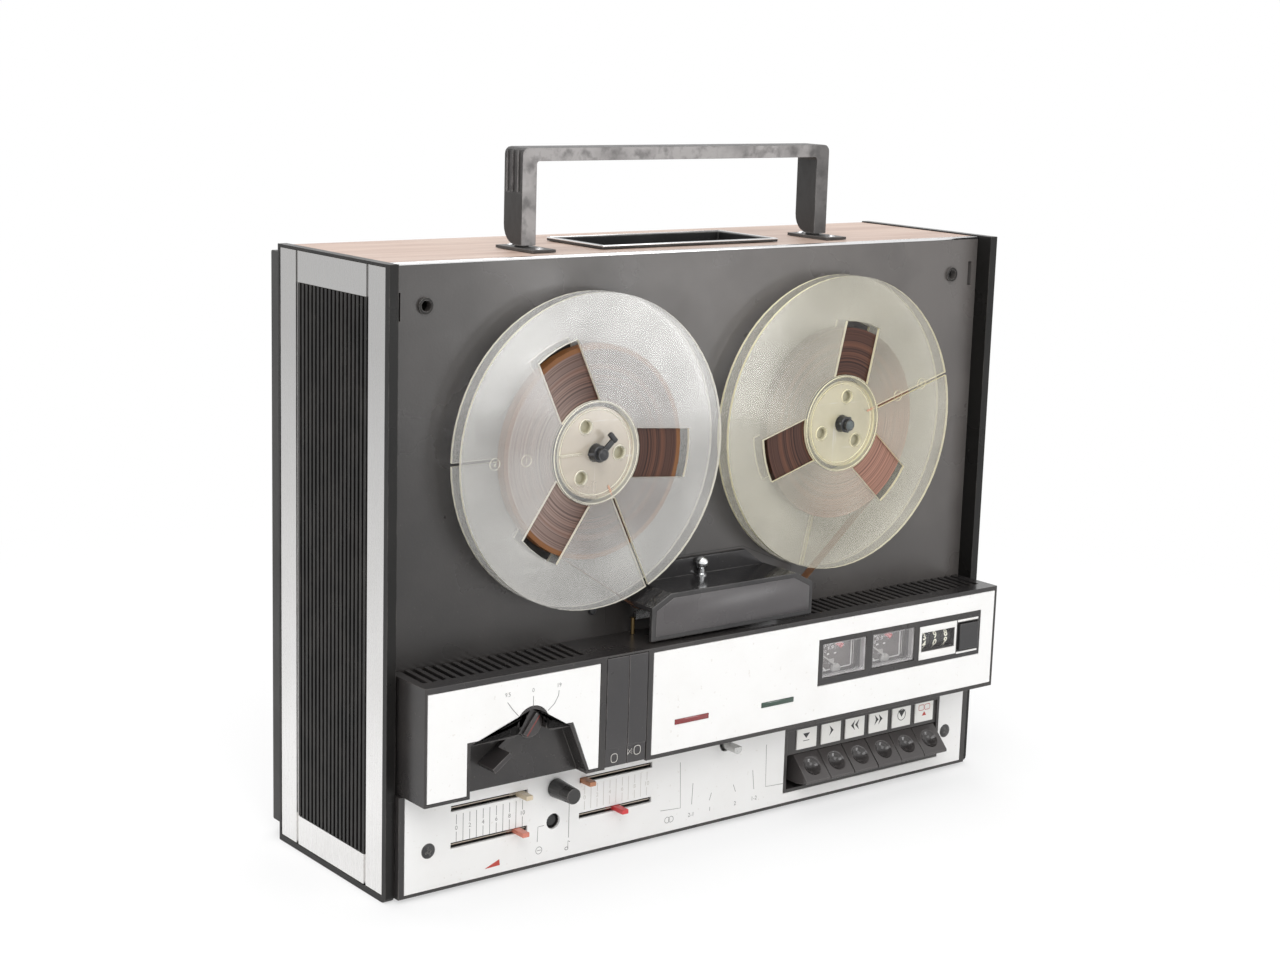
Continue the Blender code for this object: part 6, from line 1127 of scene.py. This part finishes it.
# Cross-head screws of the lower fascia.
# Black-plated heads stand in the fascia's corner holes, each with a crossed slot.
screw_black = moulding("screw_black", (0.02, 0.02, 0.021), (0.25, 0.24, 0.22), 0.32, 0.1, wear=1.2)
for side, x in (("left", -197.0), ("right", 197.0)):
    face = spot(x, lower_y, 26.4)
    head = turned("screw", face, [(0.0, -0.5), (0.9, -1.1), (2.6, -1.0), (3.9, -0.5), (4.5, 0.1), (0.0, 0.1)], 36)
    bars = [block("bar", near(face, -half_x, -1.25, -half_z), near(face, half_x, -0.9, half_z), 0.05)
            for half_x, half_z in ((2.4, 0.35), (0.35, 2.4))]
    cutter = joined("cross_slot", bars)
    turn_piece(cutter, face, 20)
    clear_selection()
    slot_cut = head.modifiers.new("cross slot", "BOOLEAN")
    slot_cut.operation = "DIFFERENCE"
    slot_cut.solver = "EXACT"
    slot_cut.object = cutter
    bpy.context.view_layer.objects.active = head
    head.select_set(True)
    bpy.ops.object.modifier_apply(modifier=slot_cut.name)
    bpy.data.objects.remove(cutter)
    finish_piece(head, screw_black, "case").name = side + "_panel_screw"

# Inner parts, seen only when the case is opened.
# Steel chassis and drive, the iron-cored transformer, the circuit board, two paper-coned speakers and the belt.
steel = brushed_metal("zinc_steel", (0.5, 0.5, 0.49), (0.3, 0.27, 0.22), 0.36, "X")
dress(steel, "chassis", "flywheel", "motor_pulley", "motor")
dress(plated, "head_block", "pinch_arm")
dress(moulding("rubber_black", (0.02, 0.02, 0.02), (0.06, 0.06, 0.06), 0.7, 0.1), "pinch_roller", "drive_belt")
dress(moulding("speaker_grey", (0.05, 0.05, 0.048), (0.1, 0.1, 0.1), 0.7, 0.4), "left_speaker", "right_speaker")
dress(moulding("board_brown", (0.16, 0.1, 0.045), (0.24, 0.17, 0.1), 0.5, 0.1), "amplifier_board")
dress(moulding("transformer_iron", (0.09, 0.085, 0.08), (0.2, 0.17, 0.14), 0.5, 0.3), "transformer")

# Floor, light and camera.
# A white sweep under the machine, a broad soft light from the upper left front and weaker ones round it.


def seen_straight(tree):
    """Masks what the camera sees, directly, through clear plastic or mirrored."""
    path = tree.nodes.new("ShaderNodeLightPath").outputs
    direct = maths(tree, "MAXIMUM", path["Is Camera Ray"], path["Is Transmission Ray"])
    return maths(tree, "MAXIMUM", direct, path["Is Glossy Ray"])


scene = bpy.context.scene
scene.view_settings.view_transform = "Standard"
clear_selection()
bpy.ops.mesh.primitive_grid_add(x_subdivisions=8, y_subdivisions=8, size=8.0, location=(0, 0, -0.0002))
floor = bpy.context.object
floor.name = "floor"
floor_paint, tree = new_surface("floor_white")
paint(tree, Base_Color=(0.9, 0.9, 0.9), Roughness=0.9)
away = remap(tree, vectors(tree, "LENGTH", own_place(tree))["Value"], 0.25, 0.85, 0.55, 1)
glow = tree.nodes.new("ShaderNodeEmission")
glow.inputs["Color"].default_value = (1, 1, 1, 1)
blend = tree.nodes.new("ShaderNodeMixShader")
feed(tree, blend.inputs["Fac"], maths(tree, "MULTIPLY", away, seen_straight(tree)))
feed(tree, blend.inputs[1], tree.nodes["Principled BSDF"].outputs["BSDF"])
feed(tree, blend.inputs[2], glow.outputs["Emission"])
feed(tree, tree.nodes["Material Output"].inputs["Surface"], blend.outputs["Shader"])
floor.data.materials.append(floor_paint)

world = bpy.data.worlds.new("studio")
scene.world = world
world.use_nodes = True
tree = world.node_tree
background = tree.nodes["Background"]
background.inputs["Color"].default_value = (1, 1, 1, 1)
feed(tree, background.inputs["Strength"], remap(tree, seen_straight(tree), 0, 1, 0.6, 1.0))


def soft_light(name, place, target, size, energy):
    """A square area light turned towards a place."""
    lamp_data = bpy.data.lights.new(name, "AREA")
    lamp_data.shape = "SQUARE"
    lamp_data.size = size
    lamp_data.energy = energy
    light = bpy.data.objects.new(name, lamp_data)
    scene.collection.objects.link(light)
    light.location = place
    light.rotation_euler = (Vector(target) - Vector(place)).to_track_quat("-Z", "Y").to_euler()
    return light


soft_light("main_light", (-1.0, -1.4, 2.0), (0, 0, 0.2), 1.6, 28.0)
soft_light("side_light", (-1.9, 0.2, 1.0), (0, 0, 0.2), 1.2, 5.0)
soft_light("front_light", (0.6, -1.8, 1.0), (0, 0, 0.25), 0.95, 7.0)
soft_light("top_light", (0.1, 0.5, 2.0), (0, 0, 0.3), 1.4, 17.0)
low_light = soft_light("low_light", (0.8, -1.22, 0.1), (-0.09, 0, 0.3), 0.4, 1.5)
low_light.data.shape = "RECTANGLE"
low_light.data.size_y = 0.19
low_light.visible_camera = False

camera_data = bpy.data.cameras.new("camera")
focal_length, film_width = 62.44, 36.0
camera_place = spot(-809.47, -971.2, 466.25)
camera_data.lens = focal_length
camera_data.sensor_width = film_width
camera_data.clip_start = 0.01
camera = bpy.data.objects.new("camera", camera_data)
scene.collection.objects.link(camera)
yaw, pitch, roll = math.radians(37.783), math.radians(11.45), math.radians(1.705)
forward = Vector((math.sin(yaw) * math.cos(pitch), math.cos(yaw) * math.cos(pitch), -math.sin(pitch)))
rightward = Vector((math.cos(yaw), -math.sin(yaw), 0))
upward = rightward.cross(forward)
frame_x = math.cos(roll) * rightward + math.sin(roll) * upward
frame_y = -math.sin(roll) * rightward + math.cos(roll) * upward
camera.matrix_world = Matrix.Translation(camera_place) @ Matrix(
    (frame_x, frame_y, -forward)).transposed().to_4x4()
scene.camera = camera
